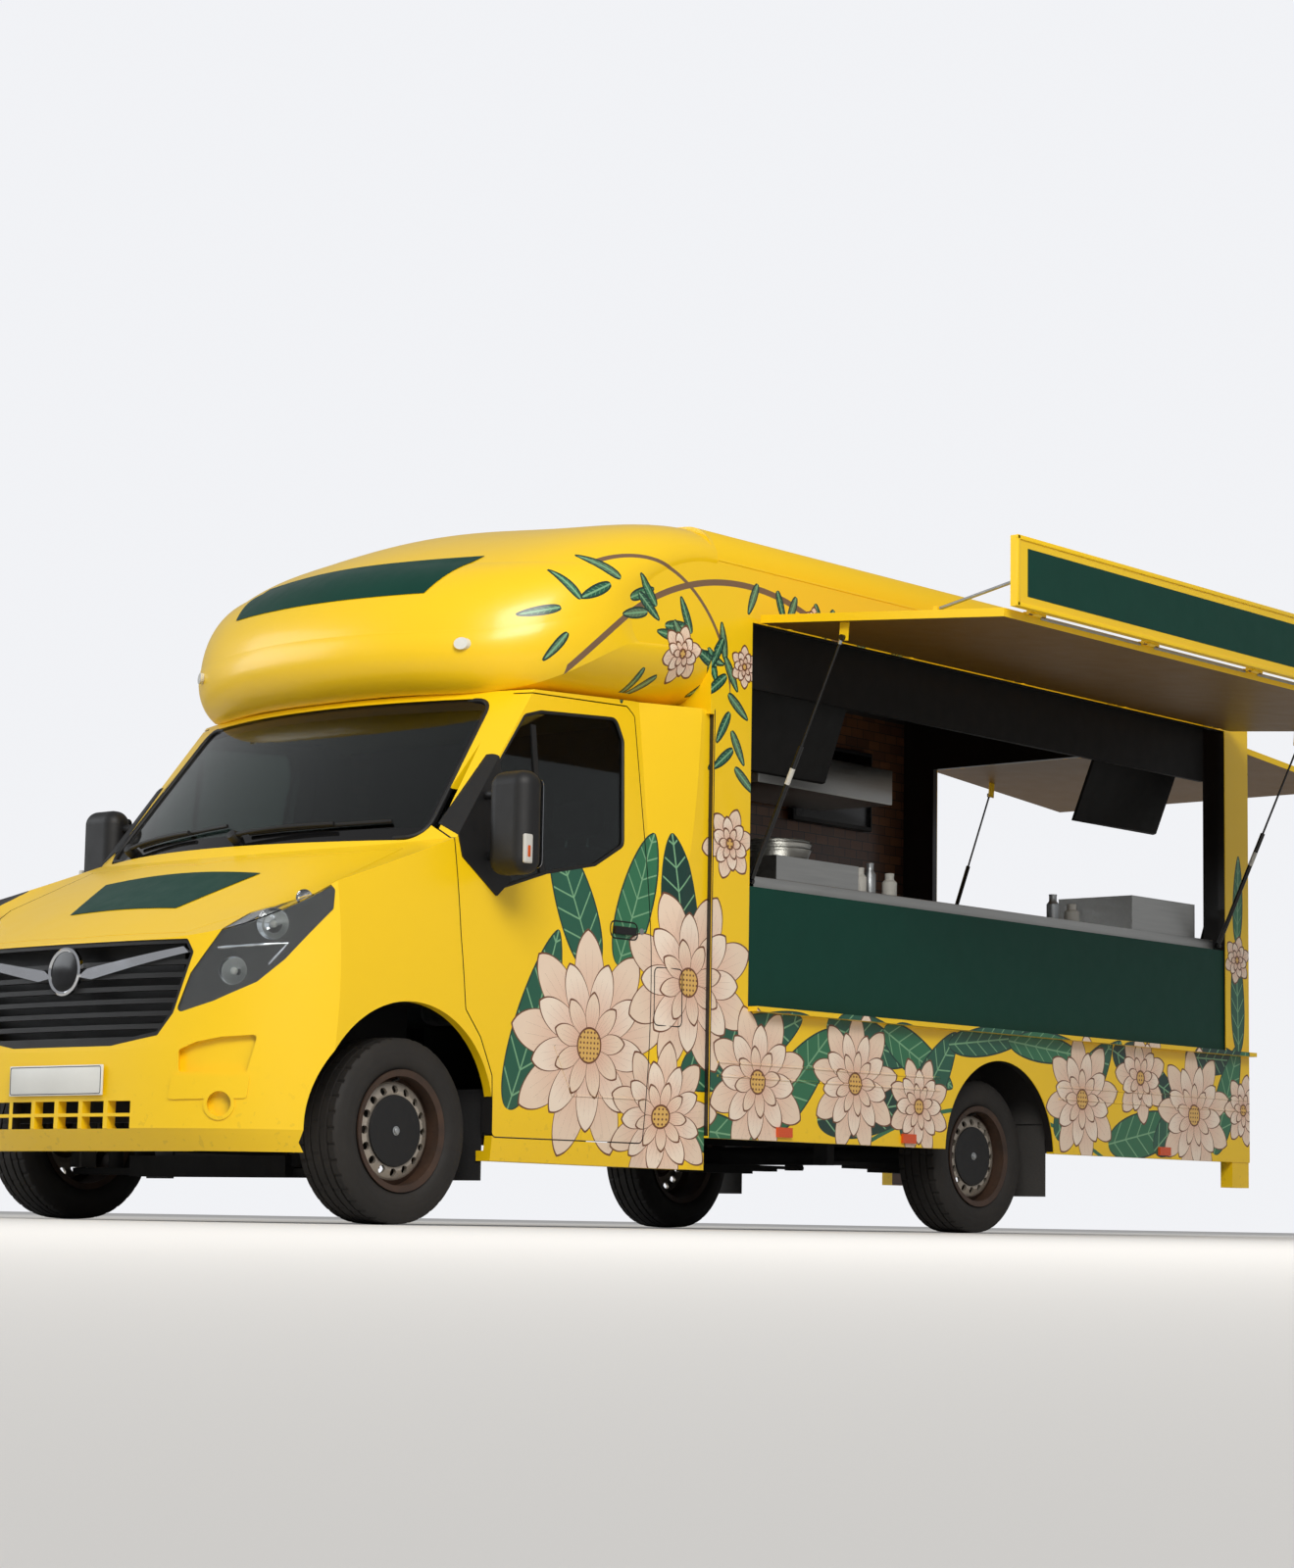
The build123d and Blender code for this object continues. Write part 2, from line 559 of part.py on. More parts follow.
def make_serving_hatch():
    """The lift-up serving hatch, its sign board, the board's stays and the two struts."""
    y0, y1 = serve_front + hatch_gap, serve_rear - hatch_gap

    def plate(u0, u1, v0, v1, a, b):
        return prism_y(hatch_corners(hatch_axis_x, hatch_axis_z, u0, u1, v0, v1), a, b)

    hatch = plate(hatch_start, hatch_length, -hatch_drop, hatch_skin - hatch_drop, y0, y1)
    axis = (0, 1, 0)
    tilt = math.radians(hatch_droop)
    down = (math.cos(tilt), 0, -math.sin(tilt))
    wall_hinges = None
    for i in range(5):
        y = y0 + 150 + i * (y1 - y0 - 300) / 4
        fixed, moving = knuckled_hinge((hatch_axis_x, y, hatch_axis_z), axis, (-1, 0, 0), down,
                                       hatch_axis_x - body_half, hatch_start + 6, 10)
        wall_hinges = fixed if wall_hinges is None else wall_hinges + fixed
        hatch = hatch - plate(0, 30, -60, 60, y - 62, y - 31) - plate(0, 30, -60, 60, y + 31, y + 62) + moving
    parts["side_wall_left"] += wall_hinges

    top = hatch_skin - hatch_drop
    fascia_u = hatch_length + 14
    fascia_axis = hatch_point(hatch_axis_x, hatch_axis_z, fascia_u, top + 2)
    board_x, board_z = fascia_axis[0] + 14, fascia_axis[1] + 2
    fascia = block(board_x, board_x + fascia_thick, y0, y1, board_z, board_z + fascia_height)
    for i in range(5):
        y = y0 + 200 + i * (y1 - y0 - 400) / 4
        fixed, moving = knuckled_hinge((fascia_axis[0], y, fascia_axis[1]), axis,
                                       (-down[0], 0, -down[2]), (1, 0, 0), 22, 20, 6)
        moving += block(fascia_axis[0], fascia_axis[0] + 16, y - 29, y + 29, fascia_axis[1] - 3, fascia_axis[1] + 9)
        pin_ends = ((fascia_axis[0], y - 40, fascia_axis[1]), (fascia_axis[0], y + 40, fascia_axis[1]))
        fascia += moving - rod_between(*pin_ends, hinge_pin_radius + run_gap)
        hatch = hatch + fixed
    tubes, rods = None, None
    eye_x, eye_z = hatch_point(hatch_axis_x, hatch_axis_z, strut_eye_u, strut_eye_v)
    for y, side in ((serve_front + strut_jamb_gap, 1), (serve_rear - strut_jamb_gap, -1)):
        tube, rod = strut((strut_low_x, y, strut_low_z), (eye_x, y, eye_z), axis)
        tubes = tube if tubes is None else tubes + tube
        rods = rod if rods is None else rods + rod
        near, far = sorted((y + side * 8.5, y + side * 14.5))
        hatch += plate(strut_eye_u - 22, strut_eye_u + 22, strut_eye_v - 12, -hatch_drop, near, far)
        jamb = serve_front if side > 0 else serve_rear
        parts["side_wall_left"] += rod_between((strut_low_x, jamb - side * 1, strut_low_z),
                                               (strut_low_x, y + side * 8, strut_low_z), hinge_pin_radius)
    parts["serving_hatch"] = hatch
    parts["fascia"] = fascia
    stays = None
    foot_v = top + 14
    foot = hatch_point(hatch_axis_x, hatch_axis_z, stay_foot_u, foot_v)
    tip = (fascia_axis[0] + 14 - stay_radius - 0.6, stay_tip_z)
    for y in (y0 + 70, y1 - 70):
        bar = rod_between((foot[0], y, foot[1]), (tip[0], y, tip[1]), stay_radius)
        bar += rod_between((tip[0], y - 9, tip[1]), (tip[0], y + 9, tip[1]), stay_radius)
        bar += rod_between((foot[0], y - 9, foot[1]), (foot[0], y + 9, foot[1]), 10)
        bar -= rod_between((foot[0], y - 20, foot[1]), (foot[0], y + 20, foot[1]), hinge_pin_radius + run_gap)
        stays = bar if stays is None else stays + bar
        hatch += rod_between((foot[0], y - 24, foot[1]), (foot[0], y + 24, foot[1]), hinge_pin_radius)
        for near in (y - 26, y + 12):
            hatch += plate(stay_foot_u - 10, stay_foot_u + 10, top - 1, foot_v + 8, near, near + 14)
    parts["serving_hatch"] = hatch
    parts["fascia_stays"] = stays
    parts["hatch_strut_tubes"] = tubes
    parts["hatch_strut_rods"] = rods


def make_rear_hatch():
    """The rear hatch, hinged over the rear opening, with its two struts."""
    def plate(u0, u1, v0, v1, a, b):
        return prism_x(hatch_corners(rear_axis_y, rear_axis_z, u0, u1, v0, v1), a, b)

    tilt = math.radians(hatch_droop)
    down = (0, math.cos(tilt), -math.sin(tilt))
    top = hatch_skin - hatch_drop
    hatch = plate(hatch_start, rear_hatch_length, -hatch_drop + 3, top, -rear_hatch_half, rear_hatch_half)
    for i in range(3):
        x = -rear_hatch_half + 150 + i * (rear_hatch_half - 150)
        fixed, moving = knuckled_hinge((x, rear_axis_y, rear_axis_z), (1, 0, 0), (0, -1, 0), down,
                                       rear_axis_y - body_rear, hatch_start + 6, 10)
        parts["rear_wall"] += fixed
        hatch = hatch - plate(0, 30, -60, 60, x - 62, x - 31) - plate(0, 30, -60, 60, x + 31, x + 62) + moving
    tubes, rods = None, None
    eye_y, eye_z = hatch_point(rear_axis_y, rear_axis_z, strut_eye_u, strut_eye_v)
    low_y = body_rear - 22
    for side in (1, -1):
        x = side * (rear_open_half - strut_jamb_gap)
        tube, rod = strut((x, low_y, strut_low_z), (x, eye_y, eye_z), (1, 0, 0))
        tubes = tube if tubes is None else tubes + tube
        rods = rod if rods is None else rods + rod
        near, far = sorted((x - side * 8.5, x - side * 14.5))
        hatch += plate(strut_eye_u - 22, strut_eye_u + 22, strut_eye_v - 12, -hatch_drop + 3, near, far)
        parts["rear_wall"] += rod_between((side * (rear_open_half + 1), low_y, strut_low_z),
                                          (x - side * 8, low_y, strut_low_z), hinge_pin_radius)
    parts["rear_hatch"] = hatch
    parts["rear_strut_tubes"] = tubes
    parts["rear_strut_rods"] = rods


def make_staff_door():
    """The offside staff door, flush in its opening on three outside hinges."""
    y0, y1 = staff_front + 6, staff_front + staff_width - 6
    door = block(-body_half, -body_half + wall, y0, y1, staff_low + 6, staff_high - 6)
    door -= block(-body_half - 5, -body_half + wall + 5, y0 + 130, y1 - 130, 1500, 2150)
    axis_x, axis_y = -body_half - 11, staff_front + 3
    for z in (700.0, 1425.0, 2150.0):
        fixed, moving = knuckled_hinge((axis_x, axis_y, z), (0, 0, 1), (1, -1, 0), (1, 1, 0), 18, 18, 6)
        fixed += block(axis_x, -body_half, axis_y - 40, axis_y - 8, z + 31, z + 58)
        fixed += block(axis_x, -body_half, axis_y - 40, axis_y - 8, z - 58, z - 31)
        moving += block(axis_x, -body_half, axis_y + 8, axis_y + 45, z - 29.5, z + 29.5)
        parts["side_wall_right"] += fixed
        door += moving
    parts["staff_door"] = door


def wheel(x, y, outward):
    """A tyre and its steel rim, with the bore that turns on the spindle; outward is +1 or -1."""
    half = tyre_width / 2
    tread = half - 14
    bead = rim_half_width - 14
    tyre_half = [(bead, bead_radius), (bead, flange_radius + 2), (half, 252), (half, 292),
                 (tread, tyre_radius - 12), (tread - 18, tyre_radius)]
    tyre_points = tyre_half + [(-a, r) for a, r in reversed(tyre_half)]
    tyre = revolve(make_face(Polyline(*[(a, r, 0) for a, r in tyre_points], close=True)), Axis.X, 360)
    edge = rim_half_width
    well = bead_radius - rim_skin
    outline = [
        (-edge, flange_radius), (-edge + 7, flange_radius), (-edge + 9, bead_radius), (edge - 9, bead_radius),
        (edge - 7, flange_radius), (edge, flange_radius), (edge - 6, well), (40, well), (56, 174), (66, 146),
        (60, 118), (46, hub_cap_radius + 4), (60, hub_cap_radius - 6), (64, 0), (-20, 0), (-20, 62),
        (34, 80), (48, 118), (54, 146), (42, 170), (24, well), (-edge + 6, well),
    ]
    rim = revolve(make_face(Polyline(*[(a, r, 0) for a, r in outline], close=True)), Axis.X, 360)
    for i in range(rim_holes):
        angle = 2 * math.pi * i / rim_holes
        rim -= (Pos(55, rim_hole_circle * math.cos(angle), rim_hole_circle * math.sin(angle))
                * Rot(0, 90, 0) * Cylinder(rim_hole_radius, 60))
    rim -= Rot(0, 90, 0) * Cylinder(spindle_radius + run_gap, 60)
    place = Pos(x, y, tyre_radius)
    turn = Rot(0, 0, 0) if outward > 0 else Rot(0, 0, 180)
    return place * turn * tyre, place * turn * rim


def make_running_gear():
    """Wheels, knuckles, front suspension, rear axle and the frame."""
    for end, y, tyre_x in (("front", 0.0, front_tyre_x), ("rear", wheelbase, rear_tyre_x)):
        for side, sign in (("left", 1), ("right", -1)):
            tyre, rim = wheel(sign * tyre_x, y, sign)
            parts["tyre_" + end + "_" + side] = tyre
            parts["rim_" + end + "_" + side] = rim
    spindle_end = front_tyre_x + 28
    upright = block(kingpin_x - 36, kingpin_x + 30, -45, 45, arm_low_z + 15, arm_high_z - arm_thick / 2 - 2)
    upright = fillet(upright.edges().filter_by(Axis.Z), 14)
    upright += rod_between((kingpin_x, 0, tyre_radius), (spindle_end, 0, tyre_radius), spindle_radius)
    upright += rod_between((kingpin_x + 10, 0, tyre_radius), (kingpin_x + 48, 0, tyre_radius), 44)
    upright -= rod_between((kingpin_x, 0, 0), (kingpin_x, 0, 700), kingpin_radius + run_gap)
    parts["knuckle_left"] = upright
    parts["knuckle_right"] = other_side(upright)

    gear = None
    side = block(420, kingpin_x + 24, -32, 32, arm_low_z - arm_thick / 2, arm_low_z + arm_thick / 2)
    side += block(420, kingpin_x + 24, -32, 32, arm_high_z - arm_thick / 2, arm_high_z + arm_thick / 2)
    side += rod_between((kingpin_x, 0, arm_low_z), (kingpin_x, 0, arm_high_z), kingpin_radius)
    side += rod_between((600, 0, arm_low_z), (600, 0, 780), 30)
    side += rod_between((600, 0, 520), (600, 0, 760), 62)
    gear = side + other_side(side) + block(-440, 440, -70, 70, 170, 250) + block(-440, 440, -50, 50, 440, 500)
    gear += rod_between((-430, 0, 210), (-430, 0, 470), 40) + rod_between((430, 0, 210), (430, 0, 470), 40)
    parts["front_suspension"] = gear

    axle = None
    for reach, radius in ((rear_tyre_x - 90, 42), (rear_tyre_x + 28, spindle_radius)):
        bar = rod_between((-reach, wheelbase, tyre_radius), (reach, wheelbase, tyre_radius), radius)
        axle = bar if axle is None else axle + bar
    for sign in (1, -1):
        x = sign * 560
        for k, reach in enumerate((640, 430, 240)):
            z = tyre_radius - 36 - 14 * k
            axle += block(x - 38, x + 38, wheelbase - reach, wheelbase + reach, z - 14, z)
        for end in (-1, 1):
            y = wheelbase + end * 610
            axle += block(x - 38, x + 38, y - 25, y + 25, tyre_radius - 55, rail_top)
    parts["rear_axle"] = axle

    frame = None
    for sign in (1, -1):
        x = sign * rail_x
        rail = block(x - rail_width / 2, x + rail_width / 2, -520, body_rear - 60, rail_top - 110, rail_top)
        frame = rail if frame is None else frame + rail
    for y in (500.0, 1500.0, 2500.0, 4700.0, body_rear - 100):
        frame += block(-rail_x, rail_x, y - 30, y + 30, rail_top - 90, rail_top - 20)
    frame += block(-560, 560, -560, -500, rail_top - 140, rail_top)
    for y in (wheelbase - 610, wheelbase + 610):
        frame += block(-540, 540, y - 40, y + 40, rail_top - 60, rail_top)
    parts["chassis_frame"] = frame - parts["rear_axle"] - parts["front_suspension"]
    parts["engine_block"] = block(-330, 330, -420, 160, rail_top, 960)


def make_floors():
    """The body's floor with its rear wheel boxes, and the cab's floor, scuttle and front wells."""
    half = body_half - wall
    floor = block(-half, half, body_front, body_rear - wall, rail_top, floor_z)
    reach = rear_arch_radius + 25
    for sign in (1, -1):
        x0, x1 = sorted((sign * 640, sign * half))
        floor += block(x0, x1, wheelbase - reach, wheelbase + reach + 20, rail_top, 850)
        x0, x1 = sorted((sign * 660, sign * (half + 10)))
        floor -= block(x0, x1, wheelbase - reach + 20, wheelbase + reach, rail_top - 10, 830)
        y = wheelbase + reach + 8
        floor += block(*sorted((sign * 770, sign * 1010)), y, y + 8, 170, rail_top + 5)
    parts["floor"] = floor
    inner = cab_volume(door_thick + 6)
    deck = rail_top + 12
    cab = block(-1100, 1100, 250, body_front, rail_top, deck) + block(-1100, 1100, 250, 275, rail_top, 1250)
    for sign in (1, -1):
        cab += block(*sorted((sign * (well_inner_x - 15), sign * well_inner_x)), -500, 460, rail_top, well_top_z + 15)
        cab += block(*sorted((sign * 780, sign * 940)), 456, 464, 170, deck)
        cab += block(*sorted((sign * (well_inner_x - 15), sign * 1100)), -500, 460, well_top_z, well_top_z + 15)
        cab -= block(*sorted((sign * well_inner_x, sign * 1200)), -600, 455, 0, well_top_z)
    flaps = block(780, 940, 456, 464, 170, rail_top)
    tail = block(-900, 900, 1600, body_front, rail_top, deck)
    cab = (cab & inner) + flaps + other_side(flaps) + tail
    parts["cab_floor"] = cab - parts["front_suspension"] - parts["dashboard"] - parts["cab_shell"]


def make_interior():
    """Dash, seats, counters, appliances and boards."""
    dash = prism_x(((10, 1180), (275, 1150), (560, 1180), (600, 1290), (480, 1390), (60, 1372)), -760, 760, 20)
    dash = dash & cab_volume(cab_wall + 4)
    wheel_plane = Plane(origin=(380, 700, 1330), z_dir=(0, 0.75, 0.66))
    ring = sweep((wheel_plane * Pos(195, 0, 0) * Rot(90, 0, 0) * Circle(14)),
                 path=wheel_plane * CenterArc((0, 0, 0), 195, 0, 360))
    spoke = extrude(wheel_plane * Rectangle(370, 40), amount=10) + extrude(wheel_plane * Circle(60), amount=20)
    column = rod_between((380, 700, 1330), (380, 560, 1207), 30)
    parts["dashboard"] = dash + ring + spoke + column
    seats = None
    for x, width in ((430, 520), (-390, 900)):
        base = block(x - width / 2 + 40, x + width / 2 - 40, 880, 1330, rail_top + 12, 780)
        pad = fillet(block(x - width / 2, x + width / 2, 820, 1390, 780, 920).edges(), 40)
        back = prism_x(seat_back_outline, x - width / 2, x + width / 2, 25)
        head = block(x - 130, x + 130, 1500, 1590, 1560, 1760)
        seat = base + pad + back + head
        seats = seat if seats is None else seats + seat
    parts["seats"] = seats & cab_volume(cab_wall + 30)

    top_x = body_half - wall - 1
    y0, y1 = serve_front + 65, serve_rear - 65
    counter = block(430, top_x + 6, y0, y1, 1405, counter_z)
    units = block(470, top_x - 40, y0 + 10, y1 - 10, floor_z, 1405)
    units -= block(600, 1100, wheelbase - 480, wheelbase + 490, 0, 900)
    back_units = block(-top_x, -480, staff_front + staff_width + 60, body_rear - 300, floor_z, worktop_z)
    back_units -= block(-1100, -600, wheelbase - 480, wheelbase + 490, 0, 900)
    kitchen = counter + units + back_units
    for y, x0, x1, z in worktop_joints:
        kitchen -= block(x0, x1, y - 2, y + 2, z - 6, z + 2)
    parts["kitchen_units"] = kitchen
    appliances = None
    for x0, x1, y0, y1, z, height in appliance_boxes:
        box = block(x0, x1, y0, y1, z, z + height)
        appliances = box if appliances is None else appliances + box
    parts["counter_appliances"] = appliances
    front = block(top_x + 8, body_half - 12, serve_front, serve_rear, serve_low, 1400)
    header = block(960, 985, serve_front + 60, serve_rear - 60, 2240, serve_high + 160)
    header += block(960, body_half - wall, serve_front + 60, serve_rear - 60, serve_high + 148,
                    serve_high + 160)
    parts["front_board"] = front
    parts["header_board"] = header


def make_lamps():
    """Side markers, nose markers and tail lamps, each sitting on its panel."""
    lamps = None
    for side in (1, -1):
        for y in (2133.0, 2999.0, 5062.0):
            lens = block(*sorted((side * body_half, side * (body_half + 12))), y - 48, y + 48, 380, 420)
            lamps = lens if lamps is None else lamps + lens
        marker = Pos(side * 750, 500, 2240) * Rot(90, 0, 0) * Cylinder(24, 200)
        lamps += (marker & cap_volume(-14)) - cap_volume()
        for z in (640.0, 720.0, 800.0):
            lamps += block(*sorted((side * 900, side * 1020)), body_rear, body_rear + 24, z, z + 72)
    parts["lamps"] = lamps


make_cab()
make_luton()
make_body()
make_serving_hatch()
make_rear_hatch()
make_staff_door()
make_running_gear()
make_interior()
make_floors()
make_lamps()

boxes = [solid.bounding_box() for solid in parts.values()]
low = [min(getattr(box.min, axis) for box in boxes) for axis in "XYZ"]
high = [max(getattr(box.max, axis) for box in boxes) for axis in "XYZ"]
shift = Pos(-(low[0] + high[0]) / 2, -(low[1] + high[1]) / 2, -low[2])
print("from", [round(v, 2) for v in low], "to", [round(v, 2) for v in high])

os.makedirs("parts", exist_ok=True)
for name, solid in parts.items():
    pieces = solid.solids()
    moved = shift * (Compound(pieces) if len(pieces) > 1 else pieces[0])
    export_step(moved, "parts/" + name + ".step")
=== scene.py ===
# Food truck: finishes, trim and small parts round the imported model, with a camera and studio light.
# Metres. at(x, y, z) places a point from the front axle: x to the truck's left, y rearward, z up.
import json
import math
from functools import partialmethod

import bmesh
import bpy
from mathutils import Matrix, Vector
from mathutils.bvhtree import BVHTree

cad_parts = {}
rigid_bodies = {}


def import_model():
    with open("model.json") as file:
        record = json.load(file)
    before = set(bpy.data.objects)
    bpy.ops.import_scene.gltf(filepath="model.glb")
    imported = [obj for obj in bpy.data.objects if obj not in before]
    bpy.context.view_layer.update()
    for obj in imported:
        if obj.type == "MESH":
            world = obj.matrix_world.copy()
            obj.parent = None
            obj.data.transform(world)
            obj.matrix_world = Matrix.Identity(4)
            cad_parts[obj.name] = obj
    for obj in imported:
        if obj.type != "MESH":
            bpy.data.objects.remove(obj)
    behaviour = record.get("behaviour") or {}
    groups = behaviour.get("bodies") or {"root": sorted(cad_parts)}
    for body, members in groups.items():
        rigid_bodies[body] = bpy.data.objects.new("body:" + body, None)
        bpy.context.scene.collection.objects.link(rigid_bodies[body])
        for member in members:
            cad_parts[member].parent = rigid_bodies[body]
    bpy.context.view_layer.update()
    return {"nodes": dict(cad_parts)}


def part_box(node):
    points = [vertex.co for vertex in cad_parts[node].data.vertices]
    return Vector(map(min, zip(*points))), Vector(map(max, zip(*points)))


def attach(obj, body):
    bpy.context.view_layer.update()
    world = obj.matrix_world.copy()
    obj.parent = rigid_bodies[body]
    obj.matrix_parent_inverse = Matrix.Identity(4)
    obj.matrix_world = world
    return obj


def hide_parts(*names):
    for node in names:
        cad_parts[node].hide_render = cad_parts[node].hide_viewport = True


for leftover in list(bpy.data.objects):
    bpy.data.objects.remove(leftover)
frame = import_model()
nodes = frame["nodes"]

# The front axle's middle, and the wheels, read from the frame
left_low, left_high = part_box("tyre_front_left")
right_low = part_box("tyre_front_right")[0]
rear_low, rear_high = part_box("tyre_rear_left")
axle = Vector(((left_high.x + right_low.x) / 2, (left_low.y + left_high.y) / 2, 0.0))
tyre_radius = (left_high.z - left_low.z) / 2
wheelbase = (rear_low.y + rear_high.y) / 2 - axle.y
body_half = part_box("roof")[1].x - axle.x
body_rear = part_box("roof")[1].y - axle.y
both_sides = (("left", 1), ("right", -1))
rearward = Vector((0, 1, 0))


def at(x, y, z):
    """A point of the frame from its distances to the front axle's middle."""
    return Vector((axle.x + x, axle.y + y, z))


def display(red, green, blue):
    """A linear colour from display values of 0 to 255."""
    linear = []
    for value in (red, green, blue):
        part = value / 255
        linear.append(part / 12.92 if part <= 0.04045 else ((part + 0.055) / 1.055) ** 2.4)
    return (*linear, 1.0)


yellow = display(250, 206, 8)
deep_yellow = display(244, 196, 6)
deep_green = display(8, 54, 44)
leaf_green = display(42, 110, 74)
mid_green = display(28, 88, 66)
vein_green = display(120, 170, 128)
twig_green = display(84, 112, 84)
petal_cream = display(238, 214, 190)
petal_light = display(244, 226, 206)
petal_pink = display(226, 178, 154)
heart_yellow = display(222, 178, 96)
ink_brown = display(112, 66, 40)
bark_brown = display(120, 92, 66)
black = display(18, 18, 19)


# Arithmetic in a material's nodes

class Number:
    """A value that a material's nodes work out."""

    def __init__(self, tree, socket):
        self.tree = tree
        self.socket = socket

    def work(self, operation, *others):
        node = self.tree.nodes.new("ShaderNodeMath")
        node.operation = operation
        for slot, value in zip(node.inputs, (self, *others)):
            if isinstance(value, Number):
                self.tree.links.new(value.socket, slot)
            else:
                slot.default_value = value
        return Number(self.tree, node.outputs[0])

    __add__ = partialmethod(work, "ADD")
    __sub__ = partialmethod(work, "SUBTRACT")
    __mul__ = partialmethod(work, "MULTIPLY")
    __truediv__ = partialmethod(work, "DIVIDE")
    below = partialmethod(work, "LESS_THAN")
    above = partialmethod(work, "GREATER_THAN")
    size = partialmethod(work, "ABSOLUTE")
    fraction = partialmethod(work, "FRACT")
    root = partialmethod(work, "SQRT")
    both = partialmethod(work, "MINIMUM")
    either = partialmethod(work, "MAXIMUM")
    angle_with = partialmethod(work, "ARCTAN2")


class Surface:
    """Where a material's surface is, from the front axle, and which way it looks, at rest."""

    def __init__(self, tree):
        where = tree.nodes.new("ShaderNodeTexCoord")
        numbers = []
        for output in ("Object", "Normal"):
            split = tree.nodes.new("ShaderNodeSeparateXYZ")
            tree.links.new(where.outputs[output], split.inputs[0])
            numbers += [Number(tree, socket) for socket in split.outputs]
        x, y, self.z, self.nx, self.ny, self.nz = numbers
        self.x, self.y = x - axle.x, y - axle.y


def new_material(name, constants=()):
    """A material, its node tree and its surface shader, with some of the shader's values set."""
    material = bpy.data.materials.new(name)
    material.use_nodes = True
    tree = material.node_tree
    shader = tree.nodes["Principled BSDF"]
    for socket, value in constants:
        shader.inputs[socket].default_value = value
    return material, tree, shader


def noise(tree, scale, detail=4.0, stretch=(1.0, 1.0, 1.0)):
    """Cloudy values from 0 to 1."""
    where = tree.nodes.new("ShaderNodeTexCoord")
    mapping = tree.nodes.new("ShaderNodeMapping")
    mapping.inputs["Scale"].default_value = stretch
    texture = tree.nodes.new("ShaderNodeTexNoise")
    texture.inputs["Scale"].default_value = scale
    texture.inputs["Detail"].default_value = detail
    tree.links.new(where.outputs["Object"], mapping.inputs["Vector"])
    tree.links.new(mapping.outputs["Vector"], texture.inputs["Vector"])
    return Number(tree, texture.outputs["Fac"])


def blend_colour(tree, amount, first, second):
    """The first colour where amount is 0, and the second where it is 1."""
    node = tree.nodes.new("ShaderNodeMix")
    node.data_type = "RGBA"
    tree.links.new(amount.socket, node.inputs[0])
    for slot, value in ((node.inputs[6], first), (node.inputs[7], second)):
        if isinstance(value, tuple):
            slot.default_value = value
        else:
            tree.links.new(value, slot)
    return node.outputs[2]


def shaded(colour, share):
    """A colour made darker to a share of itself."""
    return (*(value * share for value in colour[:3]), 1.0)


def finish_with(tree, shader, colour, rough_by, low, high, bump_by=None, depth=0.0, strength=1.0):
    """Gives a shader its colour, a roughness that wanders between two values, and relief."""
    tree.links.new(colour, shader.inputs["Base Color"])
    tree.links.new((rough_by * (high - low) + low).socket, shader.inputs["Roughness"])
    if bump_by:
        bump = tree.nodes.new("ShaderNodeBump")
        bump.inputs["Strength"].default_value = strength
        bump.inputs["Distance"].default_value = depth
        tree.links.new(bump_by.socket, bump.inputs["Height"])
        tree.links.new(bump.outputs[0], shader.inputs["Normal"])


# The painted flowers: each kind of shape is a group of nodes that lays itself over the colour below

def shape_group(name, values):
    """A node group of Y, Z and named values as Numbers, with its own colour and the ground's."""
    group = bpy.data.node_groups.new(name, "ShaderNodeTree")
    for value in ("Y", "Z", *values):
        group.interface.new_socket(value, in_out="INPUT", socket_type="NodeSocketFloat")
    for colour in ("Shape", "Ground"):
        group.interface.new_socket(colour, in_out="INPUT", socket_type="NodeSocketColor")
    group.interface.new_socket("Colour", in_out="OUTPUT", socket_type="NodeSocketColor")
    entry = group.nodes.new("NodeGroupInput")
    numbers = [Number(group, entry.outputs[value]) for value in ("Y", "Z", *values)]
    return group, numbers, entry.outputs["Shape"], entry.outputs["Ground"]


def close_group(group, colour):
    leave = group.nodes.new("NodeGroupOutput")
    group.links.new(colour, leave.inputs["Colour"])
    return group


def petal_group():
    """A ring of pointed petals about the origin, ribbed and outlined, pinker towards the middle."""
    group, (y, z, radius, count, turn, line), own, ground = shape_group(
        "petals", ("Radius", "Count", "Turn", "Line"))
    distance = (y * y + z * z).root()
    spoke = z.angle_with(y) * (count / (2 * math.pi)) + turn
    from_middle = (spoke.fraction() - 0.5).size() * 2.0
    edge = (from_middle * (from_middle * -0.30 + -0.16) + 1.0) * radius
    inside = distance.below(edge)
    colour = blend_colour(group, inside, ground, own)
    warmth = (distance / radius * -1.6 + 1.3).either(0.0).both(1.0)
    colour = blend_colour(group, inside.both(warmth), colour, petal_pink)
    rim = (distance - edge).size().below(line)
    fold = ((from_middle - 1.0).size() * distance).below(line * 0.8).both(inside)
    rib = (((from_middle * 3.0).fraction() - 0.5).size() * distance).below(line * 0.34)
    outer = distance.above(radius * 0.3).both(distance.below(edge * 0.86))
    ink = rim.either(fold).either(rib.both(outer))
    return close_group(group, blend_colour(group, ink, colour, ink_brown))


def heart_group():
    """A dotted disc about the origin."""
    group, (y, z, radius), own, ground = shape_group("heart", ("Radius",))
    distance = (y * y + z * z).root()
    heart = distance.below(radius)
    colour = blend_colour(group, heart, ground, own)
    dot_y = (y * 50.0).fraction() - 0.5
    dot_z = (z * 50.0).fraction() - 0.5
    dot = (dot_y * dot_y + dot_z * dot_z).below(0.06)
    rim = (distance - radius).size().below(0.004)
    return close_group(group, blend_colour(group, dot.both(heart).either(rim), colour, ink_brown))


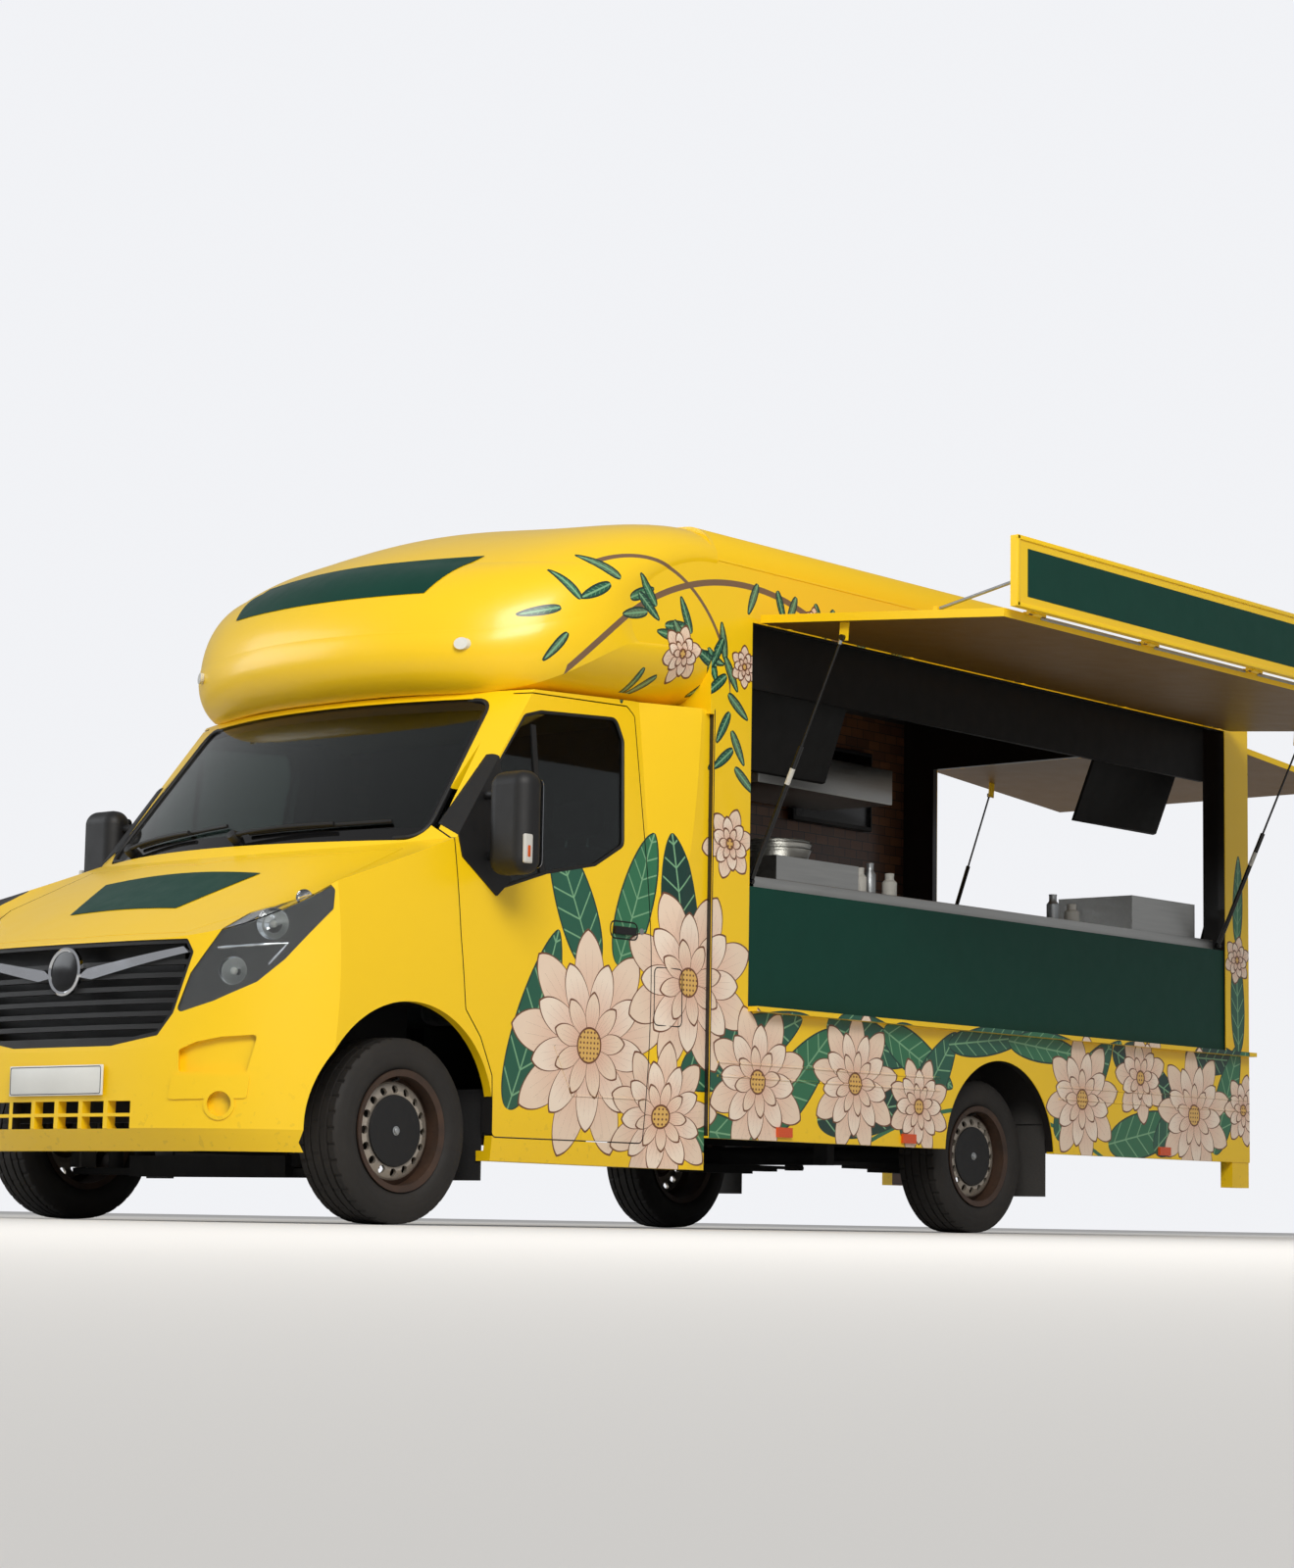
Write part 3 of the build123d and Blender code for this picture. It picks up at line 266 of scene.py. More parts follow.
def leaf_group():
    """A leaf along Y from the origin, with a middle rib and side veins."""
    group, (along, across, length, width), own, ground = shape_group("leaf", ("Length", "Width"))
    part = along / length
    taper = (part * -1.0 + 1.0).either(0.0).work("POWER", 0.72)
    half = part.either(0.0).root() * taper * width
    within = along.above(0.0).both(along.below(length))
    inside = across.size().below(half).both(within)
    colour = blend_colour(group, inside, ground, own)
    rib = across.size().below(0.0035)
    side = ((part * 7.0 - across.size() / width * 2.2).fraction() - 0.5).size().below(0.045)
    colour = blend_colour(group, rib.either(side).both(inside), colour, vein_green)
    rim = (across.size() - half).size().below(0.004).both(within)
    return close_group(group, blend_colour(group, rim, colour, deep_green))


def stem_group():
    """The upper part of a circle's line about the origin, between two values of Y."""
    group, (y, z, radius, start, end, thick), own, ground = shape_group(
        "stem", ("Radius", "Start", "End", "Thick"))
    line = ((y * y + z * z).root() - radius).size().below(thick)
    inside = line.both(z.above(0.0)).both(y.above(start)).both(y.below(end))
    return close_group(group, blend_colour(group, inside, ground, own))


class Picture:
    """Layers of colour over the truck's side, drawn in y and z."""

    def __init__(self, tree, y, z, ground):
        self.tree = tree
        self.y = y
        self.z = z
        self.colour = ground

    def lay(self, group, y, z, degrees, values, colour):
        """Lays a shape down with its origin at a point, turned from Y towards Z."""
        cos, sin = math.cos(math.radians(degrees)), math.sin(math.radians(degrees))
        dy, dz = self.y - y, self.z - z
        along = dy * cos + dz * sin if degrees else dy
        across = dz * cos - dy * sin if degrees else dz
        node = self.tree.nodes.new("ShaderNodeGroup")
        node.node_tree = group
        self.tree.links.new(along.socket, node.inputs["Y"])
        self.tree.links.new(across.socket, node.inputs["Z"])
        for name, value in (*values.items(), ("Shape", colour)):
            node.inputs[name].default_value = value
        self.tree.links.new(self.colour, node.inputs["Ground"])
        self.colour = node.outputs[0]

    def blossom(self, y, z, radius, count, turn=0.0):
        """A flower of three rings of petals with a dotted heart."""
        rings = ((1.0, 0.0, petal_cream), (0.74, 0.5, petal_light), (0.46, 0.2, petal_cream))
        for size, shift, colour in rings:
            values = {"Radius": radius * size, "Count": count, "Turn": turn + shift, "Line": 0.0045}
            self.lay(petals, y, z, 0.0, values, colour)
        self.lay(flower_heart, y, z, 0.0, {"Radius": radius * 0.15}, heart_yellow)

    def leaf(self, y, z, degrees, length, width, colour):
        self.lay(broad_leaf, y, z, degrees, {"Length": length, "Width": width}, colour)

    def stem(self, y, z, radius, low_y, high_y, thick, colour):
        values = {"Radius": radius, "Start": low_y - y, "End": high_y - y, "Thick": thick}
        self.lay(curved_stem, y, z, 0.0, values, colour)


petals, flower_heart, broad_leaf, curved_stem = petal_group(), heart_group(), leaf_group(), stem_group()

# Each flower: y, z, radius, petals and turn. Each leaf: y, z, direction in degrees, length, width, colour.
lower_leaves = (
    (0.52, 0.44, 70, 0.74, 0.24, mid_green), (0.98, 0.98, 112, 0.62, 0.25, mid_green),
    (1.12, 1.02, 66, 0.60, 0.22, leaf_green), (1.52, 0.92, 96, 0.66, 0.24, deep_green),
    (1.50, 0.60, 20, 0.80, 0.28, mid_green), (1.22, 0.42, -4, 0.74, 0.20, leaf_green),
    (1.98, 0.40, 42, 0.66, 0.26, leaf_green), (2.42, 0.86, -12, 0.62, 0.22, mid_green),
    (2.36, 0.46, 8, 0.76, 0.24, deep_green), (2.82, 0.86, -24, 0.56, 0.20, leaf_green),
    (2.96, 0.40, 50, 0.62, 0.24, mid_green), (3.30, 0.82, 6, 0.60, 0.15, mid_green),
    (3.76, 0.86, -4, 0.60, 0.15, leaf_green), (4.14, 0.44, 44, 0.66, 0.26, mid_green),
    (4.62, 0.86, -20, 0.60, 0.22, deep_green), (4.58, 0.42, 10, 0.70, 0.24, leaf_green),
    (4.98, 0.40, 34, 0.62, 0.24, mid_green), (5.26, 0.86, 0, 0.52, 0.18, deep_green),
    (5.52, 0.40, 66, 0.60, 0.22, leaf_green), (5.76, 0.90, 92, 0.56, 0.14, mid_green),
    (5.75, 1.44, 88, 0.44, 0.10, leaf_green),
)
blossoms = (
    (0.96, 0.70, 0.45, 9, 0.2), (1.54, 0.98, 0.38, 8, 0.0), (1.40, 0.44, 0.30, 9, 0.4),
    (1.96, 0.60, 0.32, 8, 0.1), (2.62, 0.62, 0.30, 9, 0.3), (3.08, 0.54, 0.22, 8, 0.0),
    (4.36, 0.62, 0.30, 8, 0.3), (4.86, 0.74, 0.22, 7, 0.1), (5.34, 0.58, 0.33, 9, 0.1),
    (1.76, 1.56, 0.15, 6, 0.3), (5.75, 1.36, 0.12, 6, 0.2), (5.80, 0.62, 0.18, 7, 0.0),
    (1.44, 2.30, 0.12, 6, 0.2), (1.84, 2.30, 0.09, 6, 0.0), (2.30, 2.56, 0.06, 5, 0.3),
)
upper_leaves = (
    *((1.00 + 0.055 * i, 2.52 - 0.020 * i + 0.05 * (i % 2), (208, 152, 30, -24)[i % 4] - 4 * i, 0.16, 0.046,
       (mid_green, twig_green, leaf_green)[i % 3]) for i in range(14)),
    *((1.70 + 0.012 * i, 2.40 - 0.075 * i, (238, 302, 216, 324)[i % 4], 0.16, 0.046,
       (mid_green, twig_green)[i % 2]) for i in range(8)),
    *((1.92 + 0.13 * i, 2.66 - 0.008 * i, (246, 292)[i % 2], 0.15, 0.044,
       (twig_green, mid_green)[i % 2]) for i in range(9)),
    (0.78, 2.40, 196, 0.15, 0.036, mid_green), (0.86, 2.44, 122, 0.14, 0.036, leaf_green),
    (0.80, 2.30, 236, 0.14, 0.034, twig_green), (1.24, 2.22, 262, 0.14, 0.036, mid_green),
    (1.34, 2.20, 222, 0.13, 0.034, twig_green),
)


def flower_group():
    """The whole picture of one side as a group from Y, Z and the ground's colour."""
    group, (y, z), _, ground = shape_group("side_flowers", ())
    picture = Picture(group, y, z, ground)
    picture.stem(1.85, 1.30, 1.34, 0.82, 2.95, 0.013, bark_brown)
    picture.stem(1.20, 2.10, 0.56, 0.98, 1.75, 0.008, bark_brown)
    picture.stem(3.60, -1.80, 2.35, 1.90, 5.60, 0.009, leaf_green)
    for leaf in (*lower_leaves, *upper_leaves):
        picture.leaf(*leaf)
    for blossom in blossoms:
        picture.blossom(*blossom)
    return close_group(group, picture.colour)


side_flowers = flower_group()


def side_picture(tree, ground):
    """The flowers of one side over a ground colour."""
    on = Surface(tree)
    node = tree.nodes.new("ShaderNodeGroup")
    node.node_tree = side_flowers
    tree.links.new(on.y.socket, node.inputs["Y"])
    tree.links.new(on.z.socket, node.inputs["Z"])
    tree.links.new(ground, node.inputs["Ground"])
    return node.outputs[0]


# Finishes

def gloss(tree, shader, colour, roughness=0.36, coat=0.3):
    """Sprayed paint: a clear coat, a faint orange peel and wandering gloss."""
    shader.inputs["Coat Weight"].default_value = coat
    shader.inputs["Coat Roughness"].default_value = 0.16
    finish_with(tree, shader, colour, noise(tree, 9.0), roughness - 0.05, roughness + 0.08,
                noise(tree, 160.0, 2.0), 0.0006, 0.25)


def paint_tone(tree):
    """The body's yellow in two close tones."""
    return blend_colour(tree, noise(tree, 0.8, 2.0) * 0.35, yellow, deep_yellow)


def weathered(tree, colour, z):
    """Dust and splashes that gather towards the ground."""
    low = (z * -2.2 + 1.25).either(0.0).both(1.0)
    specks = noise(tree, 34.0, 8.0).above(0.64) * 0.22 + noise(tree, 3.0) * 0.14
    return blend_colour(tree, (low * specks).both(0.4), colour, display(120, 92, 48))


# Which faces have the lining's colour, and where a hatch's underside gets painted shade

def looks_inward(on):
    """Faces that look towards the middle, such as a door's inside."""
    return (on.nx * on.x).below(-0.25).both(on.x.size().below(body_half - 0.02))


def edge_or_inside(on):
    """A door's edges and its inside."""
    return looks_inward(on).either(on.nx.size().below(0.32))


def door_frame_or_inside(on):
    """The cab's faces round the doors, and those that look inward."""
    beside_door = on.x.size().above(0.86).both(on.y.above(0.19)).both(on.y.below(1.334))
    towards_door = (on.ny * (on.y - 0.80) + on.nz * (on.z - 1.20)).below(-0.05)
    return looks_inward(on).either(beside_door.both(on.nx.size().below(0.32)).both(towards_door))


def behind_side(on):
    """All of a side wall but its outer face."""
    return on.x.size().below(body_half - 0.004).both(on.z.above(0.372))


def behind_rear(on):
    """All of the rear wall but its outer face."""
    return on.y.below(body_rear - 0.004).both(on.y.above(body_rear - 0.060))


def under_roof(on):
    """Faces that look down or inward."""
    return on.nz.below(-0.25).either((on.nx * on.x).below(-0.25))


def painted_shade_underside(on):
    """The underside of a raised hatch, which gets a darker yellow as painted shade."""
    return on.nz.below(-0.5)


def body_paint(name, flowers, lining_or_shade_colour, inside=looks_inward, roughness=0.36, coat=0.3):
    """Yellow paint outside, with or without the flowers, and a plain colour where a mask picks: a lining
    inside, or painted shade under a hatch.
    """
    material, tree, shader = new_material(name)
    on = Surface(tree)
    colour = paint_tone(tree)
    if flowers:
        facing = on.nx.size().above(0.42).both((on.nx * on.x).above(0.0))
        colour = blend_colour(tree, facing, colour, side_picture(tree, colour))
    # Where the mask picks: the lining's colour, or a darker yellow as painted shade on a hatch's underside
    colour = blend_colour(tree, inside(on), weathered(tree, colour, on.z), lining_or_shade_colour)
    gloss(tree, shader, colour, roughness, coat)
    return material


def brick_lining():
    """A brown brick-pattern panel on the inside of the offside wall, in the wall's own paint outside."""
    material, tree, shader = new_material("brick_lining")
    on = Surface(tree)
    combine = tree.nodes.new("ShaderNodeCombineXYZ")
    bricks = tree.nodes.new("ShaderNodeTexBrick")
    values = (("Scale", 5.0), ("Color1", display(120, 78, 48)), ("Color2", display(88, 56, 38)),
              ("Mortar", display(44, 34, 28)), ("Mortar Size", 0.012))
    for socket, value in values:
        bricks.inputs[socket].default_value = value
    tree.links.new(on.y.socket, combine.inputs[0])
    tree.links.new(on.z.socket, combine.inputs[1])
    tree.links.new(combine.outputs[0], bricks.inputs["Vector"])
    outside = weathered(tree, side_picture(tree, paint_tone(tree)), on.z)
    inward = (on.nx * on.x).below(-0.25)
    gloss(tree, shader, blend_colour(tree, inward, outside, bricks.outputs["Color"]))
    return material


def plain(name, colour, roughness=0.5, metallic=0.0, grain=220.0, depth=0.0006, spread=0.10, strength=0.4,
          sheen=0.5):
    """One colour with fine grain, wandering roughness and faint variation."""
    material, tree, shader = new_material(name, (("Specular IOR Level", sheen), ("Metallic", metallic)))
    varied = blend_colour(tree, noise(tree, 6.0), shaded(colour, 0.8), colour)
    finish_with(tree, shader, varied, noise(tree, 14.0), max(roughness - spread, 0.02), roughness + spread,
                noise(tree, grain, 3.0), depth, strength)
    return material


def brushed_steel():
    """Sheet steel brushed along the truck."""
    material, tree, shader = new_material("stainless", (("Metallic", 1.0),))
    steel = display(198, 198, 194)
    grain = noise(tree, 60.0, 6.0, (1.0, 0.06, 1.0))
    colour = blend_colour(tree, grain, shaded(steel, 0.72), steel)
    finish_with(tree, shader, colour, grain, 0.22, 0.42, grain, 0.0004, 0.3)
    return material


def clear_glass(name, tint):
    """Tinted glass that shows what is behind it."""
    material, tree, shader = new_material(name, (("Transmission Weight", 1.0), ("IOR", 1.45)))
    colour = blend_colour(tree, noise(tree, 2.0), tint, shaded(tint, 0.9))
    finish_with(tree, shader, colour, noise(tree, 30.0), 0.02, 0.04)
    return material


def edged_glass():
    """The windscreen, with its black printed edge."""
    material, tree, shader = new_material("screen_edge_glass", (("IOR", 1.45),))
    on = Surface(tree)
    foot, head, print_width = 1.447, 2.020, 0.035
    side = on.x.size() - ((on.z - foot) * (-0.093 / 0.60) + 0.872)
    ends = on.z.below(foot + print_width).either(on.z.above(head - print_width))
    edge = side.above(0.0).either(ends)
    tree.links.new((edge * -1.0 + 1.0).socket, shader.inputs["Transmission Weight"])
    finish_with(tree, shader, blend_colour(tree, edge, glass_tint, black), noise(tree, 30.0), 0.02, 0.05)
    return material


def tyre_rubber():
    """Black rubber with dust in the tread and on the sidewall."""
    material, tree, shader = new_material("tyre_rubber")
    dusty = blend_colour(tree, noise(tree, 5.0) * 0.30, display(22, 21, 21), display(66, 58, 48))
    finish_with(tree, shader, dusty, noise(tree, 20.0), 0.62, 0.88, noise(tree, 300.0), 0.0006, 0.5)
    return material


def wheel_steel():
    """Silver steel round the holes, and rusty dark paint towards the edge and in the middle."""
    material, tree, shader = new_material("wheel_steel")
    on = Surface(tree)
    up = on.z - tyre_radius
    front, rear = ((y * y + up * up).root() for y in (on.y, on.y - wheelbase))
    reach = front.both(rear)
    dark = reach.below(0.099).either(reach.above(0.180))
    silver = blend_colour(tree, noise(tree, 26.0, 6.0) * 0.5, display(190, 182, 170), display(120, 104, 88))
    rust = blend_colour(tree, noise(tree, 12.0, 5.0) * 0.7, display(40, 34, 31), display(96, 68, 50))
    tree.links.new((dark * -0.55 + 0.75).socket, shader.inputs["Metallic"])
    finish_with(tree, shader, blend_colour(tree, dark, silver, rust), noise(tree, 30.0), 0.38, 0.6,
                noise(tree, 200.0), 0.0005, 0.4)
    return material


def seat_cloth():
    """Woven dark cloth."""
    material, tree, shader = new_material("seat_cloth", (("Sheen Weight", 0.3),))
    where = tree.nodes.new("ShaderNodeTexCoord")
    weave = tree.nodes.new("ShaderNodeTexChecker")
    weave.inputs["Scale"].default_value = 240.0
    tree.links.new(where.outputs["Object"], weave.inputs["Vector"])
    grain = Number(tree, weave.outputs["Fac"])
    thread = grain * 0.5 + noise(tree, 8.0) * 0.3
    colour = blend_colour(tree, thread, display(44, 45, 50), display(74, 76, 84))
    finish_with(tree, shader, colour, noise(tree, 40.0), 0.75, 0.95, grain, 0.0008, 0.5)
    return material


def lens_colours():
    """Clear marker lenses at the nose, amber at the sides, and red, amber and clear at the tail."""
    material, tree, shader = new_material("lens_colours", (("Coat Weight", 0.5),))
    on = Surface(tree)
    tail = on.y.above(body_rear - 0.03)
    colour = blend_colour(tree, on.z.above(2.0), display(214, 78, 20), display(222, 222, 214))
    colour = blend_colour(tree, tail.both(on.z.above(0.796)), colour, display(176, 20, 14))
    colour = blend_colour(tree, tail.both(on.z.below(0.716)), colour, display(214, 206, 200))
    ridges = (on.x * 90.0).fraction().either((on.z * 90.0).fraction())
    finish_with(tree, shader, colour, noise(tree, 20.0), 0.12, 0.2, ridges, 0.0012, 0.4)
    return material


def glow(name, colour, strength):
    """A lit lamp face."""
    material, tree, shader = new_material(
        name, (("Emission Color", colour), ("Emission Strength", strength), ("Roughness", 0.3)))
    varied = blend_colour(tree, noise(tree, 40.0), colour, shaded(colour, 0.9))
    tree.links.new(varied, shader.inputs["Base Color"])
    return material


lining_dark = display(30, 27, 26)
glass_tint = display(96, 108, 104)
yellow_paint = body_paint("yellow_paint", False, lining_dark)
cap_paint = body_paint("cap_paint", True, lining_dark)
side_paint = body_paint("side_paint", True, lining_dark, behind_side)
rear_paint = body_paint("rear_paint", False, lining_dark, behind_rear)
roof_paint = body_paint("roof_paint", True, display(44, 40, 38), under_roof, 0.62, 0.0)
door_paint = body_paint("door_paint", True, display(34, 33, 33), edge_or_inside)
shell_paint = body_paint("shell_paint", True, lining_dark, door_frame_or_inside)
# The hatches' undersides are a dark golden yellow: painted shade on the faces that look down
hatch_paint = body_paint("hatch_paint", False, display(112, 78, 2), painted_shade_underside, 0.42, 0.0)
brick_finish = brick_lining()
black_plastic = plain("black_plastic", black, 0.55, grain=420.0, depth=0.0008)
glossy_black = plain("glossy_black", display(12, 12, 13), 0.16, strength=0.1)
lamp_grey = plain("lamp_grey", display(62, 60, 58), 0.4, strength=0.2)
underseal = plain("underseal", display(30, 30, 31), 0.8, grain=90.0, depth=0.002)
cast_metal = plain("cast_metal", display(92, 90, 88), 0.55, 0.8, grain=120.0, depth=0.002)
chrome = plain("chrome", display(226, 228, 232), 0.08, 1.0, strength=0.05, spread=0.03)
galvanised = plain("galvanised", display(186, 190, 192), 0.42, 0.9, grain=40.0)
board_paint = plain("board_paint", display(8, 62, 50), 0.42, strength=0.15, sheen=0.2)
board_black = plain("board_black", display(20, 19, 18), 0.6, sheen=0.25)
screen_glass = plain("screen_glass", display(8, 9, 10), 0.12, strength=0.05)
amber = plain("amber", display(206, 84, 20), 0.2, strength=0.1)
plate_white = plain("plate_white", display(232, 232, 226), 0.35, strength=0.1)
plate_yellow = plain("plate_yellow", display(236, 190, 30), 0.35, strength=0.1)
floor_ply = plain("floor_ply", display(64, 62, 60), 0.75, grain=60.0, depth=0.002)
lining = plain("lining", display(78, 72, 66), 0.6)
white_plastic = plain("white_plastic", display(206, 204, 196), 0.4)
stainless = brushed_steel()
cab_glass = clear_glass("cab_glass", glass_tint)
lamp_glass = clear_glass("lamp_glass", display(240, 244, 244))
screen_finish = edged_glass()
rubber = tyre_rubber()
rim_finish = wheel_steel()
cloth = seat_cloth()
lens_finish = lens_colours()
spot_face = glow("spot_face", display(255, 190, 110), 6.0)

# The nodes' finishes; the ones without an entry are black plastic
finishes = {
    "cab_shell": shell_paint, "bumper": yellow_paint, "bonnet": yellow_paint, "roof": roof_paint,
    "luton_cap": cap_paint, "side_wall_left": side_paint, "rear_wall": rear_paint,
    "side_wall_right": brick_finish, "staff_door": brick_finish,
    "cab_door_left": door_paint, "cab_door_right": door_paint,
    "serving_hatch": hatch_paint, "rear_hatch": hatch_paint, "fascia": yellow_paint,
    "front_board": board_paint, "header_board": board_black, "bulkhead": lining,
    "grille_trim": chrome, "headlamps": lamp_glass, "lamp_housings": lamp_grey, "lamps": lens_finish,
    "windscreen": screen_finish, "door_glass_left": cab_glass, "door_glass_right": cab_glass,
    "seats": cloth, "kitchen_units": stainless, "counter_appliances": stainless,
    "floor": floor_ply, "cab_floor": underseal, "engine_block": cast_metal,
    "front_suspension": underseal, "rear_axle": underseal, "chassis_frame": underseal,
    "knuckle_left": cast_metal, "knuckle_right": cast_metal,
    "fascia_stays": galvanised, "hatch_strut_tubes": glossy_black, "rear_strut_tubes": glossy_black,
    "hatch_strut_rods": glossy_black, "rear_strut_rods": glossy_black,
}
for name, node in nodes.items():
    kind = name.split("_")[0]
    finish = {"tyre": rubber, "rim": rim_finish}.get(kind) or finishes.get(name, black_plastic)
    if not node.material_slots:
        node.data.materials.append(finish)
    for slot in node.material_slots:
        slot.material = finish


# Making pieces

def link(name, data):
    piece = bpy.data.objects.new(name, data)
    bpy.context.scene.collection.objects.link(piece)
    return piece


def add(name, data, material, body="body"):
    """A piece with its finish and the body that it rides on."""
    piece = link(name, data)
    data.materials.append(material)
    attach(piece, body)
    return piece


def mesh_of(name, form, smooth_angle=35.0):
    """A mesh from a bmesh, smooth but for its corners."""
    bmesh.ops.recalc_face_normals(form, faces=form.faces)
    mesh = bpy.data.meshes.new(name)
    form.to_mesh(mesh)
    form.free()
    mesh.shade_smooth()
    mesh.set_sharp_from_angle(angle=math.radians(smooth_angle))
    return mesh


def soft_box(name, low, high, radius, segments, material, body="body", placed=None):
    """A box with rounded edges between two corners, in a frame if one is given."""
    form = bmesh.new()
    bmesh.ops.create_cube(form, size=1.0)
    low = Vector(low)
    size = Vector(high) - low
    for vertex in form.verts:
        vertex.co = low + Vector((vertex.co[i] + 0.5) * size[i] for i in range(3))
    bmesh.ops.bevel(form, geom=form.edges[:], offset=min(radius, min(size) * 0.45), segments=segments,
                    profile=0.5, affect="EDGES")
    if placed:
        form.transform(placed)
    return add(name, mesh_of(name, form), material, body)


def tube(name, points, radius, material, body="body", closed=False, smooth=False):
    """A round bar through points, of which those that are None are left out."""
    curve = bpy.data.curves.new(name, "CURVE")
    curve.dimensions = "3D"
    curve.bevel_depth = radius
    curve.bevel_resolution = 3
    curve.use_fill_caps = not closed
    spline = curve.splines.new("NURBS" if smooth else "POLY")
    points = [point for point in points if point]
    spline.points.add(len(points) - 1)
    for point, target in zip(spline.points, points):
        point.co = (*target, 1.0)
    spline.use_cyclic_u = closed
    if smooth:
        spline.order_u = 3
        spline.use_endpoint_u = True
    add(name, curve, material, body)


def skin(rows, ends="capped", closed=True):
    """A form of faces between rows of points, its ends capped, open or joined to each other."""
    form = bmesh.new()
    rows = [[form.verts.new(spot) for spot in row] for row in rows]
    next_rows = rows[1:] + rows[:1] if ends == "joined" else rows[1:]
    for first, second in zip(rows, next_rows):
        for i in range(len(first) if closed else len(first) - 1):
            j = (i + 1) % len(first)
            form.faces.new((first[i], first[j], second[j], second[i]))
    if ends == "capped":
        form.faces.new(rows[0])
        form.faces.new(list(reversed(rows[-1])))
    return form


def lathe(name, profile, middle, direction, steps, material, body="body", ends="capped"):
    """A turned piece: (distance along, radius) pairs about an axis through middle."""
    turn = Vector((0, 0, 1)).rotation_difference(Vector(direction)).to_matrix()
    rings = []
    for along, radius in profile:
        ring = []
        for i in range(steps):
            angle = 2 * math.pi * i / steps
            spot = turn @ Vector((radius * math.cos(angle), radius * math.sin(angle), along))
            ring.append(Vector(middle) + spot)
        rings.append(ring)
    add(name, mesh_of(name, skin(rings, ends)), material, body)


def slab(name, corners, thick, direction, material, body="body", radius=0.0):
    """A flat plate from corner points, thickened along a direction."""
    form = bmesh.new()
    face = form.faces.new([form.verts.new(corner) for corner in corners])
    grown_part = bmesh.ops.extrude_face_region(form, geom=[face])["geom"]
    push = Vector(direction).normalized() * thick
    moved = [part for part in grown_part if isinstance(part, bmesh.types.BMVert)]
    bmesh.ops.translate(form, verts=moved, vec=push)
    if radius:
        bmesh.ops.bevel(form, geom=form.edges[:], offset=radius, segments=2, profile=0.5, affect="EDGES")
    add(name, mesh_of(name, form), material, body)


def tree_of(*names):
    """A search tree over some nodes' surfaces."""
    points, faces = [], []
    for name in names:
        mesh = nodes[name].data
        start = len(points)
        points += [vertex.co.copy() for vertex in mesh.vertices]
        faces += [[start + i for i in face.vertices] for face in mesh.polygons]
    return BVHTree.FromPolygons(points, faces)


def touch(tree, start, direction):
    """Where a line first meets a surface, or None."""
    return tree.ray_cast(Vector(start), Vector(direction).normalized())[0]


# How far from the axle a line starts that looks for the truck's outside
far_out = 2.0


def on_side(tree, y, z, sign, lift=0.0):
    """The point of the flank at y and z, lifted off it, or None beside the surface."""
    spot = touch(tree, at(sign * far_out, y, z), (-sign, 0, 0))
    return spot + Vector((sign * lift, 0, 0)) if spot else None


def traced(tree, line, sign, lift=0.0):
    """A line of y and z laid on the flank."""
    return [on_side(tree, point.x, point.y, sign, lift) for point in line]


def rectangle(left, low, right, high):
    return [(left, low), (right, low), (right, high), (left, high)]


def rounded(points, radius, steps=5):
    """A closed outline of 2-D points with its corners rounded."""
    result = []
    count = len(points)
    for i in range(count):
        before, corner, after = (Vector(points[(i + k) % count]) for k in (-1, 0, 1))
        to_before, to_after = (before - corner).normalized(), (after - corner).normalized()
        half_turn = to_before.angle(to_after) / 2
        longest = 0.45 * min((before - corner).length, (after - corner).length)
        reach = min(radius / math.tan(half_turn), longest)
        start, end = corner + to_before * reach, corner + to_after * reach
        for k in range(steps + 1):
            part = k / steps
            result.append(start.lerp(corner, part).lerp(corner.lerp(end, part), part))
    return result


def grown(points, amount):
    """A closed 2-D outline moved outward from its middle by about a distance."""
    middle = sum(points, Vector((0, 0))) / len(points)
    return [point + (point - middle).normalized() * amount for point in points]


def dense(points, step):
    """The corners of an open line with points added between them."""
    result = []
    for start, end in zip(points, points[1:]):
        start, end = Vector(start), Vector(end)
        count = max(1, round((end - start).length / step))
        result += [start.lerp(end, k / count) for k in range(count)]
    return result + [Vector(points[-1])]


# Tyres with tread, standing for the plain ones

def tyre_mesh():
    """A van tyre about the X axis: ribs, grooves, shoulder blocks and a ridged sidewall."""
    steps, block_steps, groove_depth = 252, 7, 0.0075
    sidewall = [(0.088, 0.213), (0.091, 0.223), (0.099, 0.231), (0.1075, 0.243), (0.1122, 0.260),
                (0.1124, 0.276), (0.1118, 0.279), (0.1122, 0.282), (0.1100, 0.298), (0.1088, 0.301),
                (0.1082, 0.304), (0.1040, 0.317), (0.0995, 0.3285), (0.0945, 0.3345)]
    tread = [0.0900, 0.0850, 0.0640, 0.0625, 0.0560, 0.0545, 0.0270, 0.0255, 0.0190, 0.0175]
    grooves = {0.0625, 0.0560, 0.0255, 0.0190}
    half = [(across, radius, False) for across, radius in sidewall]
    for across in tread:
        crown = tyre_radius - 0.4 * across * across
        grooved = across in grooves
        half.append((across, crown - groove_depth if grooved else crown, not grooved))
    line = [(-across, radius, rib) for across, radius, rib in half] + half[::-1]
    rings = []
    for i in range(steps):
        angle = 2 * math.pi * i / steps
        ring = []
        for across, radius, rib in line:
            stagger = 3 if abs(across) < 0.018 else 0
            if rib and abs(across) > 0.06 and i % block_steps == 0:
                radius -= 0.006
            elif rib and abs(across) < 0.055 and (i + stagger) % (2 * block_steps) == 0:
                radius -= 0.0035
            ring.append((across, radius * math.cos(angle), radius * math.sin(angle)))
        rings.append(ring)
    return mesh_of("van_tyre", skin(rings, "joined"), 28.0)


